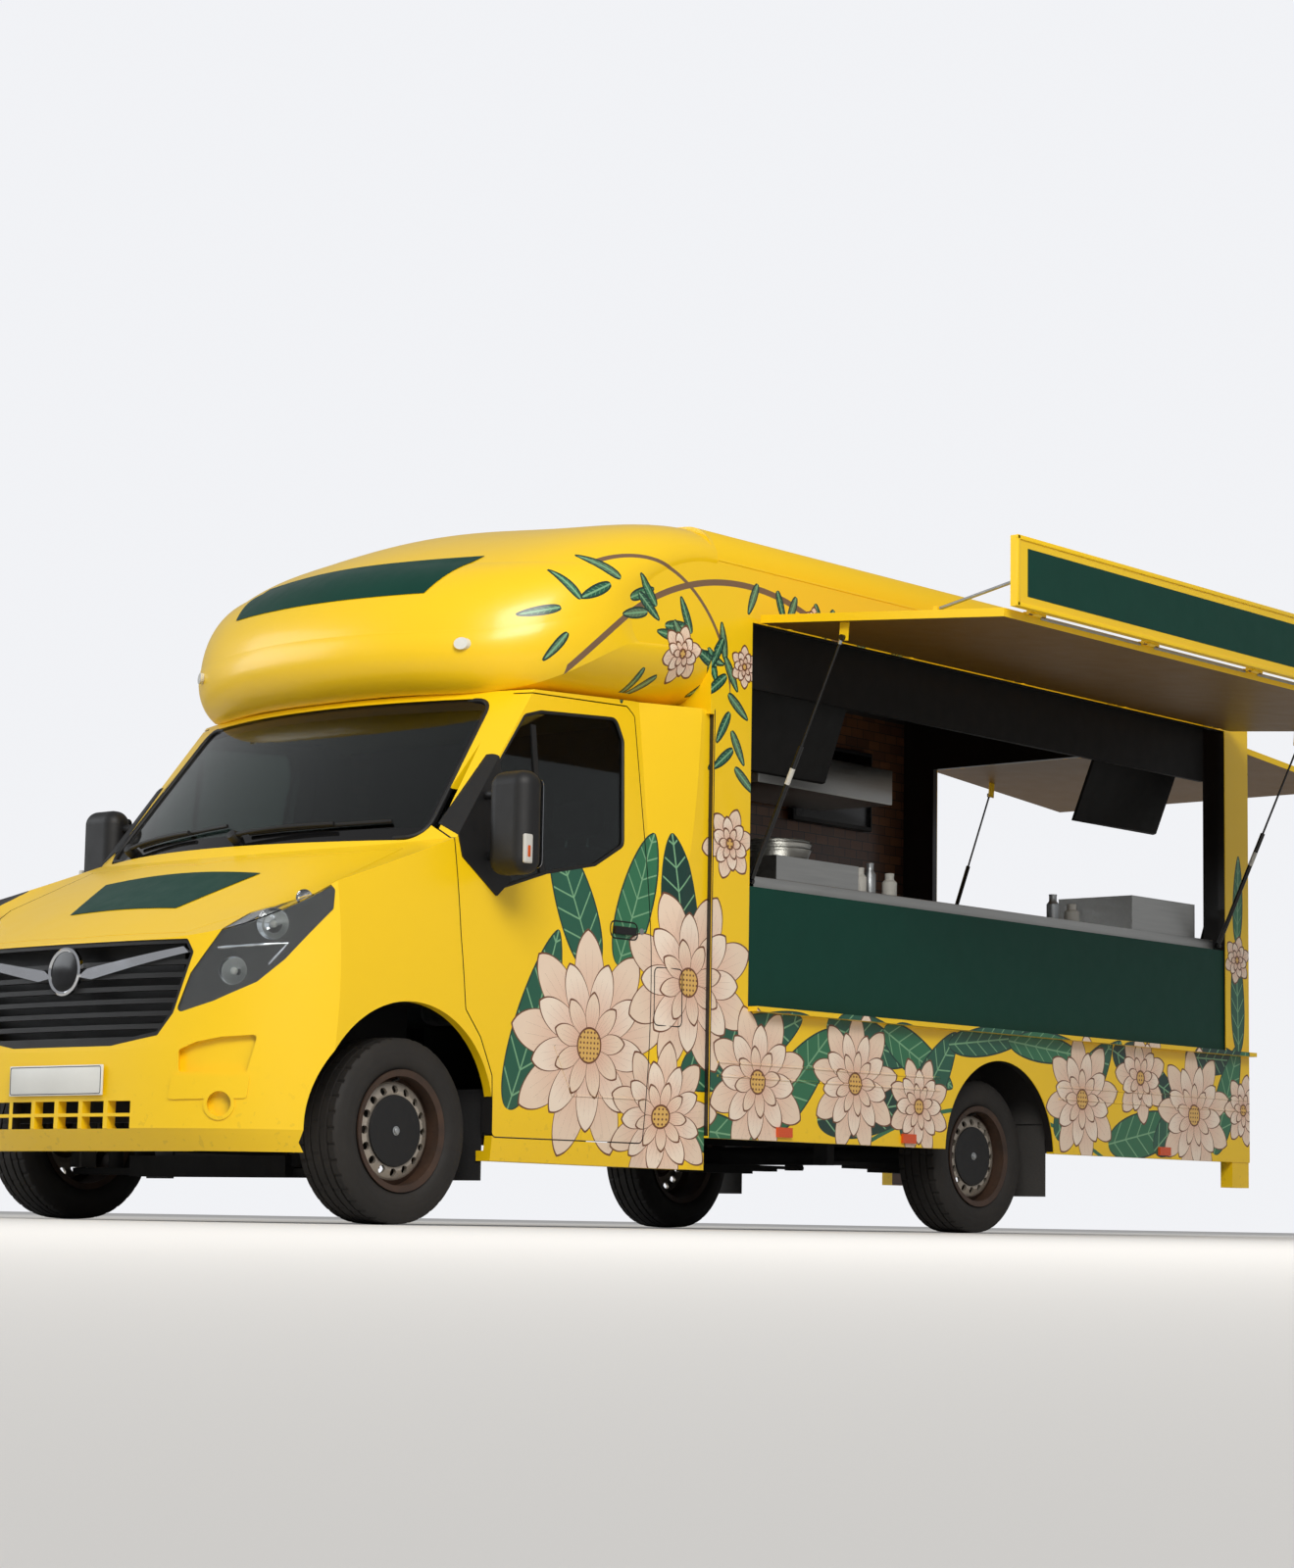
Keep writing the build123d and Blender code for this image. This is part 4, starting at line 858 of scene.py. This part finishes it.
bolt_profile = [(-0.004, 0.017), (0.002, 0.017), (0.003, 0.013), (0.008, 0.012), (0.010, 0.009)]
cover_profile = [(-0.022, 0.128), (-0.008, 0.132), (-0.003, 0.130), (-0.001, 0.122), (-0.003, 0.104),
                 (-0.001, 0.088), (0.0, 0.020)]
valve_profile = [(0.0, 0.0055), (0.018, 0.0050), (0.019, 0.0058), (0.032, 0.0052)]
tyre_form = tyre_mesh()
for end in ("front", "rear"):
    for side, sign in both_sides:
        place = end + "_" + side
        wheel = "wheel_" + place
        low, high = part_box("tyre_" + place)
        middle = (low + high) / 2
        form = tyre_form.copy()
        form.transform(Matrix.Translation(middle))
        tyre = add("road_tyre_" + place, form, rubber, wheel)
        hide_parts("tyre_" + place)
        seat = touch(tree_of("rim_" + place), middle + Vector((sign, 0.0, 0.126)), (-sign, 0, 0))
        face = Vector((seat.x + sign * 0.012, middle.y, middle.z))
        lathe("cap_bolt_" + place, bolt_profile, face, (sign, 0, 0), 24, galvanised, wheel)
        lathe("wheel_cover_" + place, cover_profile, face, (sign, 0, 0), 64, black_plastic, wheel)
        valve_foot = middle + Vector((sign * 0.050, 0.0, 0.183))
        lathe("valve_" + place, valve_profile, valve_foot, (sign, 0, 0.25), 16, black_plastic, wheel)


# Windscreen wipers and seal

screen_tree = tree_of("windscreen")
screen_out = Vector((0, -0.86, 0.5))


def on_screen(x, z, lift):
    """The windscreen's point at x and z, lifted off it, or None beside it."""
    spot = touch(screen_tree, at(x, -far_out, z), rearward)
    return spot + screen_out * lift if spot else None


boss_profile = [(-0.03, 0.024), (0.0, 0.024), (0.012, 0.019), (0.014, 0.010)]
for name, pivot_x, tip_x, tip_z in (("left", 0.08, 0.74, 1.505), ("right", -0.66, -0.02, 1.520)):
    pivot = on_screen(pivot_x, 1.462, 0.03)
    middle_x, middle_z = (pivot_x + tip_x) / 2 + 0.12, (1.475 + tip_z) / 2
    elbow = pivot.lerp(on_screen(middle_x, middle_z, 0.05), 0.35) + Vector((0, -0.01, 0.012))
    arm = (pivot, elbow, on_screen(middle_x, middle_z, 0.028))
    tube("wiper_arm_" + name, arm, 0.0085, black_plastic, smooth=True)
    heel_x, heel_z = pivot_x + 0.06, 1.478
    blade = [on_screen(heel_x + (tip_x - heel_x) * k / 8, heel_z + (tip_z - heel_z) * k / 8, 0.012)
             for k in range(9)]
    tube("wiper_blade_" + name, blade, 0.0075, black_plastic, smooth=True)
    lathe("wiper_boss_" + name, boss_profile, pivot, screen_out, 24, black_plastic)

screen_outline = [(-0.895, 1.440), (0.895, 1.440), (0.805, 2.028), (-0.805, 2.028)]
seal = [on_screen(point.x, point.y, 0.004) for point in rounded(screen_outline, 0.075, 6)]
tube("screen_seal", seal, 0.009, black_plastic, closed=True)


# What the cab doors carry: seals, quarter bars, mirror glass, handle pockets, creases and locks

window_outline = [(0.262, 1.496), (0.640, 1.964), (0.735, 1.990), (1.185, 2.016), (1.222, 1.930),
                  (1.180, 1.500), (1.000, 1.404), (0.710, 1.347), (0.430, 1.262), (0.268, 1.395)]
window_line = grown(rounded(window_outline, 0.04, 4), -0.004)
bar_section = ((-0.013, 0.0), (-0.013, 0.006), (0.013, 0.006), (0.013, 0.0))
mirror_outline = rounded(rectangle(-0.082, -0.168, 0.082, 0.168), 0.03)
pocket_outline = rounded(rectangle(1.075, 1.128, 1.238, 1.196), 0.03)
crease_line = dense([(0.760, 0.690), (0.878, 0.504), (1.300, 0.505)], 0.05)
lock_profile = [(-0.002, 0.0125), (0.0025, 0.0125), (0.003, 0.011), (0.002, 0.004)]
for side, sign in both_sides:
    door = "cab_door_" + side
    glass_tree = tree_of("door_glass_" + side)
    door_tree = tree_of(door, "door_glass_" + side)
    seal = traced(glass_tree, window_line, sign, 0.004)
    tube("window_seal_" + side, seal, 0.0075, black_plastic, door, closed=True)
    rows = []
    for k in range(13):
        z = 1.350 + 0.632 * k / 12
        row = [on_side(glass_tree, 0.69 + dy, z, sign, lift) for dy, lift in bar_section]
        if all(row):
            rows.append(row)
    add("quarter_bar_" + side, mesh_of("quarter_bar_" + side, skin(rows)), black_plastic, door)

    mirror_x, mirror_y, mirror_z = sign * 1.165, 0.370, 1.500
    pane = [at(mirror_x + point.x, mirror_y + 0.063, mirror_z + point.y) for point in mirror_outline]
    slab("mirror_glass_" + side, pane, 0.002, rearward, chrome, door)
    lens_x = sign * 1.263
    soft_box("repeater_" + side, at(lens_x - 0.008, mirror_y - 0.058, mirror_z - 0.160),
             at(lens_x + 0.008, mirror_y - 0.012, mirror_z - 0.050), 0.0075, 3, white_plastic, door)
    soft_box("repeater_bulb_" + side, at(lens_x - 0.007, mirror_y - 0.046, mirror_z - 0.140),
             at(lens_x + 0.0095, mirror_y - 0.024, mirror_z - 0.090), 0.0070, 3, amber, door)

    pocket = traced(door_tree, pocket_outline, sign, 0.0005)
    tube("handle_pocket_" + side, pocket, 0.0028, black_plastic, door, closed=True)
    tube("door_crease_" + side, traced(door_tree, crease_line, sign, -0.001), 0.0045, door_paint, door)
    lathe("door_lock_" + side, lock_profile, on_side(door_tree, 1.262, 1.165, sign), (sign, 0, 0), 24,
          galvanised, door)


# Seams and creases of the shell

shell_tree = tree_of("cab_shell", "luton_cap", "side_wall_left", "side_wall_right", "roof")


def side_line(name, points, radius, sign, material, lift=0.0):
    """A bead or a groove's dark line on the shell, through points of y and z."""
    tube(name, traced(shell_tree, dense(points, 0.06), sign, lift), radius, material)


for side, sign in both_sides:
    side_line("body_seam_" + side, [(1.652, 0.372), (1.652, 2.098)], 0.0022, sign, black_plastic)
    side_line("cap_seam_" + side, [(1.330, 2.112), (1.655, 2.102)], 0.0022, sign, black_plastic)
    bead = [(1.660, 2.720), (body_rear - 0.004, 2.720)]
    side_line("roof_bead_" + side, bead, 0.0045, sign, yellow_paint, -0.001)
    for level, z in enumerate((0.670, 0.615)):
        for end, y0, y1 in (("front", 1.70, 3.235), ("rear", 4.165, body_rear - 0.03)):
            name = f"lower_rib_{end}_{level}_{side}"
            side_line(name, [(y0, z), (y1, z)], 0.0050, sign, cap_paint, -0.001)
flap_outline = rounded(rectangle(1.338, 0.800, 1.500, 1.030), 0.025)
tube("fuel_flap_gap", traced(shell_tree, flap_outline, 1, 0.0004), 0.0022, black_plastic, closed=True)


# Sign board, hinge strips and the struts' bands

sign_low, sign_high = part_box("fascia")
hinge_z = sign_high.z - 0.281
panel_low = (sign_high.x - 0.0005, sign_low.y + 0.075, hinge_z + 0.045)
panel_high = (sign_high.x + 0.0020, sign_high.y - 0.075, sign_high.z - 0.045)
soft_box("sign_panel", panel_low, panel_high, 0.0008, 1, board_paint, "fascia")
past, rail_width = 0.001, 0.016
for name, y0, y1, z0, z1 in (
        ("top", sign_low.y - past, sign_high.y + past, sign_high.z - rail_width, sign_high.z + past),
        ("foot", sign_low.y - past, sign_high.y + past, hinge_z - past, hinge_z + rail_width),
        ("front", sign_low.y, sign_low.y + rail_width, hinge_z, sign_high.z),
        ("rear", sign_high.y - rail_width, sign_high.y, hinge_z, sign_high.z)):
    soft_box("sign_rail_" + name, (sign_high.x - 0.002, y0, z0), (sign_high.x + 0.006, y1, z1),
             0.002, 2, yellow_paint, "fascia")

hatch_low, hatch_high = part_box("serving_hatch")
hatch_tilt = math.radians(4.6)
along = Vector((math.cos(hatch_tilt), 0.0, -math.sin(hatch_tilt)))
above = Vector((math.sin(hatch_tilt), 0.0, math.cos(hatch_tilt)))
hatch_frame = Matrix((along, rearward, above)).transposed().to_4x4()
hatch_frame.translation = Vector((axle.x + 1.090, (hatch_low.y + hatch_high.y) / 2, 2.502))
hinge_step = (hatch_high.y - hatch_low.y - 0.400) / 4
strip_face = 1.2385
bolt_profile = [(-0.001, 0.0045), (0.001, 0.0045), (0.002, 0.0030)]
for k in range(4):
    strip_y = hinge_step * (k - 2) + 0.052
    strip_low, strip_high = (1.2345, strip_y, 0.010), (strip_face, strip_y + hinge_step - 0.104, 0.0235)
    soft_box(f"hinge_strip_{k}", strip_low, strip_high, 0.001, 2, galvanised, "serving_hatch", hatch_frame)
    for n in range(6):
        bolt_y = strip_y + 0.06 + (hinge_step - 0.224) * n / 5
        lathe(f"strip_bolt_{k}_{n}", bolt_profile, hatch_frame @ Vector((strip_face, bolt_y, 0.017)), along,
              12, galvanised, "serving_hatch")

# A blank pale band and a bright end on each gas strut
tubes_low, tubes_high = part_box("hatch_strut_tubes")
for end, strut_y in (("front", tubes_low.y + 0.011), ("rear", tubes_high.y - 0.011)):
    foot = Vector((axle.x + 1.048, strut_y, 1.422))
    eye = hatch_frame @ Vector((0.425, 0.0, -0.075))
    eye.y = strut_y
    way = (eye - foot).normalized()
    band = [(0.0, 0.0105), (0.0, 0.0114), (0.070, 0.0114), (0.070, 0.0105)]
    lathe("strut_band_" + end, band, foot + way * 0.430, way, 24, white_plastic, "hatch_strut_tubes",
          "joined")
    sleeve = [(0.0, 0.0045), (0.0, 0.0075), (0.016, 0.0075), (0.016, 0.0045)]
    lathe("strut_end_" + end, sleeve, eye - way * 0.029, way, 20, galvanised, "hatch_strut_rods", "joined")


# Bumper corners, plates and emblem

front_tree = tree_of("bumper", "grille", "grille_trim", "cab_shell", "bonnet")


def on_front(x, z):
    """The point of the truck's front at x and z."""
    return touch(front_tree, at(x, -far_out, z), rearward)


strip_fall, strip_depth, strip_set = Vector((0.0, 0.044, -0.061)), rearward * 0.006, rearward * 0.0008
for side, sign in both_sides:
    rows = []
    for k in range(15):
        spot = on_front(sign * (0.625 + 0.320 * k / 14), 0.312) - strip_set
        rows.append((spot, spot + strip_fall, spot + strip_fall + strip_depth, spot + strip_depth))
    add("bumper_corner_" + side, mesh_of("bumper_corner_" + side, skin(rows)), yellow_paint)


def number_plate(name, y, z, facing, material):
    """A blank plate with a raised rim, 520 by 111 mm."""
    half_width, half_height, margin = 0.260, 0.0555, 0.006
    face_y = y + facing * 0.010
    low = (axle.x - half_width, min(y, face_y), z - half_height)
    high = (axle.x + half_width, max(y, face_y), z + half_height)
    soft_box(name, low, high, 0.003, 2, material)
    rim_x, rim_z = half_width - margin, half_height - margin
    outline = rounded(rectangle(-rim_x, -rim_z, rim_x, rim_z), 0.01)
    rim = [Vector((axle.x + point.x, face_y, z + point.y)) for point in outline]
    tube(name + "_rim", rim, 0.0014, black_plastic, closed=True)


number_plate("front_plate", on_front(0.0, 0.504).y - 0.004, 0.504, -1, plate_white)
number_plate("rear_plate", axle.y + body_rear, 0.640, 1, plate_yellow)

emblem, nose_way = on_front(0.0, 0.905), (0, -1, 0.05)
disc_profile = [(-0.004, 0.074), (0.003, 0.074), (0.007, 0.050), (0.009, 0.015)]
ring_profile = [(-0.006, 0.090), (0.004, 0.090), (0.010, 0.083), (0.004, 0.075), (-0.006, 0.073)]
lathe("emblem_disc", disc_profile, emblem, nose_way, 48, glossy_black)
lathe("emblem_ring", ring_profile, emblem, nose_way, 64, chrome)


# Reflectors, bulbs and a bright bar behind the headlamps' lenses

lamp_from, lamp_to = Vector((1.000, -0.420)), Vector((0.600, -0.730))
lamp_along = (lamp_to - lamp_from).normalized()
lamp_inward = Vector((lamp_along.y, -lamp_along.x))
lens_tree = tree_of("headlamps")


def on_lens(s, z, sign, depth):
    """A point behind the headlamp's lens, from its distance along the lamp and its height, or None."""
    flat = lamp_from + lamp_along * s
    way = Vector((sign * lamp_inward.x, lamp_inward.y, 0.0))
    spot = touch(lens_tree, at(sign * flat.x, flat.y, z) - way * 0.5, way)
    return spot + way * depth if spot else None


bulb_profile = [(-0.036, 0.012), (-0.018, 0.013), (-0.010, 0.009), (-0.008, 0.004)]
dish_profile = [(-0.010, 0.004), (-0.006, 0.022), (0.001, 0.030), (-0.012, 0.030)]
bar_points = ((0.392, 0.974), (0.250, 0.984), (0.140, 0.992), (0.205, 0.915))
for side, sign in both_sides:
    outward = (-sign * lamp_inward.x, -lamp_inward.y, 0.0)
    for k, (s, z, radius) in enumerate(((0.196, 1.062, 0.058), (0.334, 0.892, 0.052))):
        mouth = on_lens(s, z, sign, 0.012)
        bowl = [(-0.036, radius * 0.12), (-0.033, radius * 0.42), (-0.024, radius * 0.70),
                (-0.006, radius * 0.96), (-0.004, radius), (-0.040, radius)]
        lathe(f"lamp_bowl_{k}_{side}", bowl, mouth, outward, 48, chrome)
        lathe(f"lamp_bulb_{k}_{side}", bulb_profile, mouth, outward, 24, white_plastic)
    tube("lamp_bar_" + side, [on_lens(s, z, sign, 0.010) for s, z in bar_points], 0.008, chrome)
    lathe("lamp_turn_" + side, dish_profile, on_lens(0.104, 1.168, sign, 0.010), outward, 32, chrome)


# Blank green banners on the bonnet and the cap's brow

def draped(name, node, body, outline, spot_of, way, lift):
    """A thin skin over a node, inside four corners given in two coordinates."""
    surface = tree_of(node)
    a, b, c, d = (Vector(corner) for corner in outline)
    across, deep = 40, 12
    rows = []
    for j in range(deep + 1):
        left, right = a.lerp(d, j / deep), b.lerp(c, j / deep)
        row = []
        for i in range(across + 1):
            spot, normal = surface.ray_cast(spot_of(left.lerp(right, i / across)), Vector(way))[:2]
            row.append(spot + normal * lift)
        rows.append(row)
    add(name, mesh_of(name, skin(rows, "open", closed=False)), board_paint, body)


draped("bonnet_banner", "bonnet", "bonnet", ((-0.44, -0.24), (0.44, -0.24), (0.30, -0.53), (-0.30, -0.53)),
       lambda p: at(p.x, p.y, 3.0), (0, 0, -1), 0.0025)
draped("cap_banner", "luton_cap", "body", ((-0.62, 2.64), (0.62, 2.64), (0.54, 2.46), (-0.54, 2.46)),
       lambda p: at(p.x, -far_out, p.y), rearward, 0.0030)


# Kitchen

top_z = 1.445
upward = (0, 0, 1)


def kitchen_box(name, low, high, doors=0, knobs=0, lid=False):
    """A steel cabinet with doors, grips, knobs and a lid on the side that faces the customers."""
    low, high = at(*low), at(*high)
    soft_box(name, low, high, 0.006, 3, stainless)
    wide = high.y - low.y
    door_top = high.z - (0.09 if knobs else 0.02)
    for i in range(doors):
        y0, y1 = (low.y + wide / doors * (i + n) + gap for n, gap in ((0, 0.012), (1, -0.012)))
        soft_box(f"{name}_door_{i}", (high.x - 0.002, y0, low.z + 0.02), (high.x + 0.010, y1, door_top),
                 0.004, 2, stainless)
        grip = [Vector((high.x + x, y, door_top - 0.03)) for x, y in (
            (0.010, y0 + 0.04), (0.034, y0 + 0.045), (0.034, y1 - 0.045), (0.010, y1 - 0.04))]
        tube(f"{name}_grip_{i}", grip, 0.006, galvanised, smooth=True)
    for i in range(knobs):
        spot = (high.x - 0.002, low.y + wide * (i + 0.5) / knobs, high.z - 0.045)
        profile = [(0.0, 0.026), (0.004, 0.026), (0.006, 0.019), (0.026, 0.017), (0.028, 0.014)]
        lathe(f"{name}_knob_{i}", profile, spot, (1, 0, 0), 24, black_plastic)
    if lid:
        lip = Vector((0.004, 0.004, 0.0))
        lid_low, lid_high = Vector((low.x, low.y, high.z - 0.001)) - lip, high + lip + Vector((0, 0, 0.018))
        soft_box(name + "_lid", lid_low, lid_high, 0.007, 3, stainless)
        spot = ((low.x + high.x) / 2, (low.y + high.y) / 2, high.z + 0.017)
        profile = [(0.0, 0.012), (0.012, 0.010), (0.020, 0.018), (0.030, 0.016)]
        lathe(name + "_lid_knob", profile, spot, upward, 24, black_plastic)


counter_low, counter_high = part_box("kitchen_units")
edge_x = axle.x + 1.033
soft_box("counter_edge", (edge_x - 0.006, counter_low.y, top_z - 0.052),
         (edge_x + 0.006, counter_high.y, top_z + 0.003), 0.003, 2, stainless)
tray_profile = [(0.0, 0.120), (0.004, 0.126), (0.040, 0.140), (0.043, 0.146), (0.046, 0.140)]
for i in range(5):
    foot = at(0.76 + 0.01 * (i % 2), 2.46, 1.562 + 0.012 * i)
    lathe(f"tray_{i}", tray_profile, foot, upward, 40, stainless)
jars = ((0.86, 2.92, 0.12, 0.030), (0.84, 3.02, 0.15, 0.026), (0.88, 3.11, 0.11, 0.033),
        (0.80, 4.52, 0.14, 0.030), (0.84, 4.62, 0.10, 0.036))
for i, (x, y, tall, wide) in enumerate(jars):
    profile = [(0.0, wide * 0.9), (0.006, wide), (tall * 0.75, wide), (tall * 0.86, wide * 0.62),
               (tall, wide * 0.60), (tall + 0.012, wide * 0.66)]
    lathe(f"jar_{i}", profile, at(x, y, top_z), upward, 24, galvanised if i % 2 else white_plastic)

kitchen_box("grill", (-0.30, 5.17, 1.365), (0.10, 5.58, 1.56), knobs=3, lid=True)
kitchen_box("fridge", (-0.98, 2.72, 0.60), (-0.455, 3.60, 1.34), doors=2)
kitchen_box("oven", (-0.90, 4.00, 1.40), (-0.500, 4.90, 1.66), doors=2, knobs=5)
kitchen_box("stove_hood", (-1.00, 3.90, 2.16), (-0.50, 5.00, 2.34))

# Dark boards that lean inward at the foot, on two metal hangers each
for name, y0, y1, z0, z1 in (("menu_front", 2.08, 2.86, 1.95, 2.42), ("menu_rear", 4.84, 5.58, 1.99, 2.41)):
    x, lean = 0.86, 0.17
    corners = (at(x, y0, z1), at(x, y1, z1), at(x - lean, y1, z0), at(x - lean, y0, z0))
    slab(name, corners, 0.022, (1, 0, 0.2), board_black, radius=0.004)
    for k, y in enumerate((y0 + 0.10, y1 - 0.10)):
        line = (at(x, y, z1 - 0.01), at(x + 0.01, y, z1 + 0.20), at(x + 0.01, y, 2.86))
        tube(f"{name}_hanger_{k}", line, 0.005, galvanised, smooth=True)

screen_low, screen_high = at(-1.024, 4.80, 2.10), at(-0.985, 5.48, 2.52)
soft_box("menu_screen", screen_low, screen_high, 0.008, 3, black_plastic)
face_low = (screen_high.x - 0.001, screen_low.y + 0.018, screen_low.z + 0.022)
face_high = screen_high + Vector((0.002, -0.018, -0.022))
soft_box("menu_screen_face", face_low, face_high, 0.001, 2, screen_glass)

spot_profile = [(0.0, 0.040), (0.004, 0.046), (0.030, 0.046), (0.034, 0.040)]
face_profile = [(0.0, 0.033), (0.003, 0.034), (0.006, 0.030)]
for i, (x, y) in enumerate(((-0.55, 3.05), (-0.55, 3.75), (-0.55, 4.60), (0.30, 3.20), (0.30, 4.40))):
    lathe(f"ceiling_spot_{i}", spot_profile, at(x, y, 2.836), upward, 32, glossy_black)
    lathe(f"ceiling_spot_face_{i}", face_profile, at(x, y, 2.832), upward, 32, spot_face)


# Seats, as padded pieces

def cushion(name, low, high, channels=0, tilt=0.0, pivot=None):
    """A crowned pad with rounded sides and sewn channels along it."""
    form = bmesh.new()
    bmesh.ops.create_cube(form, size=2.0)
    bmesh.ops.subdivide_edges(form, edges=form.edges[:], cuts=15, use_grid_fill=True)
    middle, half = (low + high) / 2, (high - low) / 2
    power = 5.0
    for vertex in form.verts:
        u = vertex.co.copy()
        length = (abs(u.x) ** power + abs(u.y) ** power + abs(u.z) ** power) ** (1 / power)
        spot = u / length
        spot *= 1.0 - 0.018 * (abs(u.x * u.y) + abs(u.y * u.z) + abs(u.x * u.z))
        if channels:
            crease = (1 - abs(math.cos(math.pi * channels * u.x))) ** 6
            spot.z -= 0.035 * crease if u.z > 0.5 else 0
            spot.y += 0.030 * crease if u.y < -0.5 else 0
        vertex.co = spot * half + middle
    if tilt:
        form.transform(Matrix.Translation(pivot) @ Matrix.Rotation(tilt, 4, "X") @ Matrix.Translation(-pivot))
    piece = add(name, mesh_of(name, form, 60.0), cloth)
    piece.modifiers.new("smooth", "SUBSURF").levels = 1
    return piece


seat_pieces = []
for name, x, width, channels in (("driver", 0.430, 0.520, 4), ("bench", -0.390, 0.900, 7)):
    x0, x1 = x - width / 2, x + width / 2
    seat_pieces += [
        cushion(name + "_seat_pad", at(x0, 0.822, 0.782), at(x1, 1.388, 0.920), channels),
        cushion(name + "_seat_back", at(x0 + 0.01, 1.335, 0.90), at(x1 - 0.01, 1.455, 1.58), channels,
                -0.20, at(x, 1.39, 0.92)),
        cushion(name + "_head_rest", at(x - 0.125, 1.502, 1.600), at(x + 0.125, 1.588, 1.762)),
    ]
    for k in (-1, 1):
        post = (at(x + k * 0.06, 1.535, 1.52), at(x + k * 0.06, 1.545, 1.62))
        tube(f"{name}_rest_post_{k + 1}", post, 0.007, chrome)
    seat_pieces.append(soft_box(name + "_seat_plinth", at(x0 + 0.04, 0.88, 0.512), at(x1 - 0.04, 1.33, 0.79),
                                0.02, 3, black_plastic))
for piece in seat_pieces:
    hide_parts("seats")


# Light, floor and camera

def backdrop(name, colour, own):
    """A pale matt surface that the camera sees brighter by its own light."""
    material, tree, shader = new_material(name, (("Base Color", colour), ("Roughness", 0.9)))
    glow_node = tree.nodes.new("ShaderNodeEmission")
    glow_node.inputs["Color"].default_value = (1, 1, 1, 1)
    mixer = tree.nodes.new("ShaderNodeAddShader")
    path = tree.nodes.new("ShaderNodeLightPath")
    seen = Number(tree, path.outputs["Is Camera Ray"])
    tree.links.new((seen * own).socket, glow_node.inputs["Strength"])
    tree.links.new(shader.outputs[0], mixer.inputs[0])
    tree.links.new(glow_node.outputs[0], mixer.inputs[1])
    tree.links.new(mixer.outputs[0], tree.nodes["Material Output"].inputs[0])
    return material


floor_form = bmesh.new()
bmesh.ops.create_grid(floor_form, x_segments=2, y_segments=2, size=60.0)
floor_mesh = bpy.data.meshes.new("studio_floor")
floor_form.to_mesh(floor_mesh)
floor_form.free()
floor_mesh.materials.append(backdrop("floor_paper", (0.62, 0.61, 0.59, 1.0), 0.10))
studio_floor = link("studio_floor", floor_mesh)

scene = bpy.context.scene
scene.view_settings.view_transform = "Standard"
world = bpy.data.worlds.new("studio_air")
scene.world = world
world.use_nodes = True
air = world.node_tree
background = air.nodes["Background"]
air_path = air.nodes.new("ShaderNodeLightPath")
by_camera = Number(air, air_path.outputs["Is Camera Ray"])
through_glass = Number(air, air_path.outputs["Is Transmission Ray"])
background.inputs["Color"].default_value = (0.96, 0.97, 1.0, 1.0)
air.links.new((by_camera.either(through_glass) * 0.55 + 0.37).socket, background.inputs["Strength"])


def soft_light(name, spot, size, power, colour, in_gloss=True):
    """A rectangular light that looks at the truck's middle."""
    data = bpy.data.lights.new(name, "AREA")
    data.shape = "RECTANGLE"
    data.size, data.size_y = size
    data.energy = power
    data.color = colour
    lamp = link(name, data)
    lamp.location = spot
    lamp.rotation_euler = (at(0, 2.6, 1.3) - spot).to_track_quat("-Z", "Y").to_euler()
    lamp.visible_glossy = in_gloss


soft_light("key_light", at(9.0, -6.0, 8.5), (7.0, 5.0), 1320.0, (1.0, 0.97, 0.93))
soft_light("fill_light", at(-8.0, -5.0, 5.0), (7.0, 5.0), 320.0, (0.92, 0.96, 1.0))
soft_light("back_light", at(-4.0, 12.0, 7.0), (8.0, 5.0), 220.0, (1.0, 0.97, 0.92), False)

camera_data = bpy.data.cameras.new("photo_camera")
camera_data.sensor_fit = "VERTICAL"
camera_data.sensor_height = 36.0
camera_data.lens = 77.665
camera_data.clip_start = 0.05
camera_data.clip_end = 200.0
camera = link("photo_camera", camera_data)
yaw, pitch, roll = math.radians(40.593), math.radians(7.360), math.radians(0.963)
ahead = Vector((-math.sin(yaw) * math.cos(pitch), math.cos(yaw) * math.cos(pitch), math.sin(pitch)))
level_right = Vector((math.cos(yaw), math.sin(yaw), 0.0))
level_up = level_right.cross(ahead)
right = level_right * math.cos(roll) + level_up * math.sin(roll)
turn = Matrix((right, right.cross(ahead), -ahead)).transposed().to_4x4()
camera.matrix_world = Matrix.Translation(at(9.726, -8.867, 0.03)) @ turn
scene.camera = camera
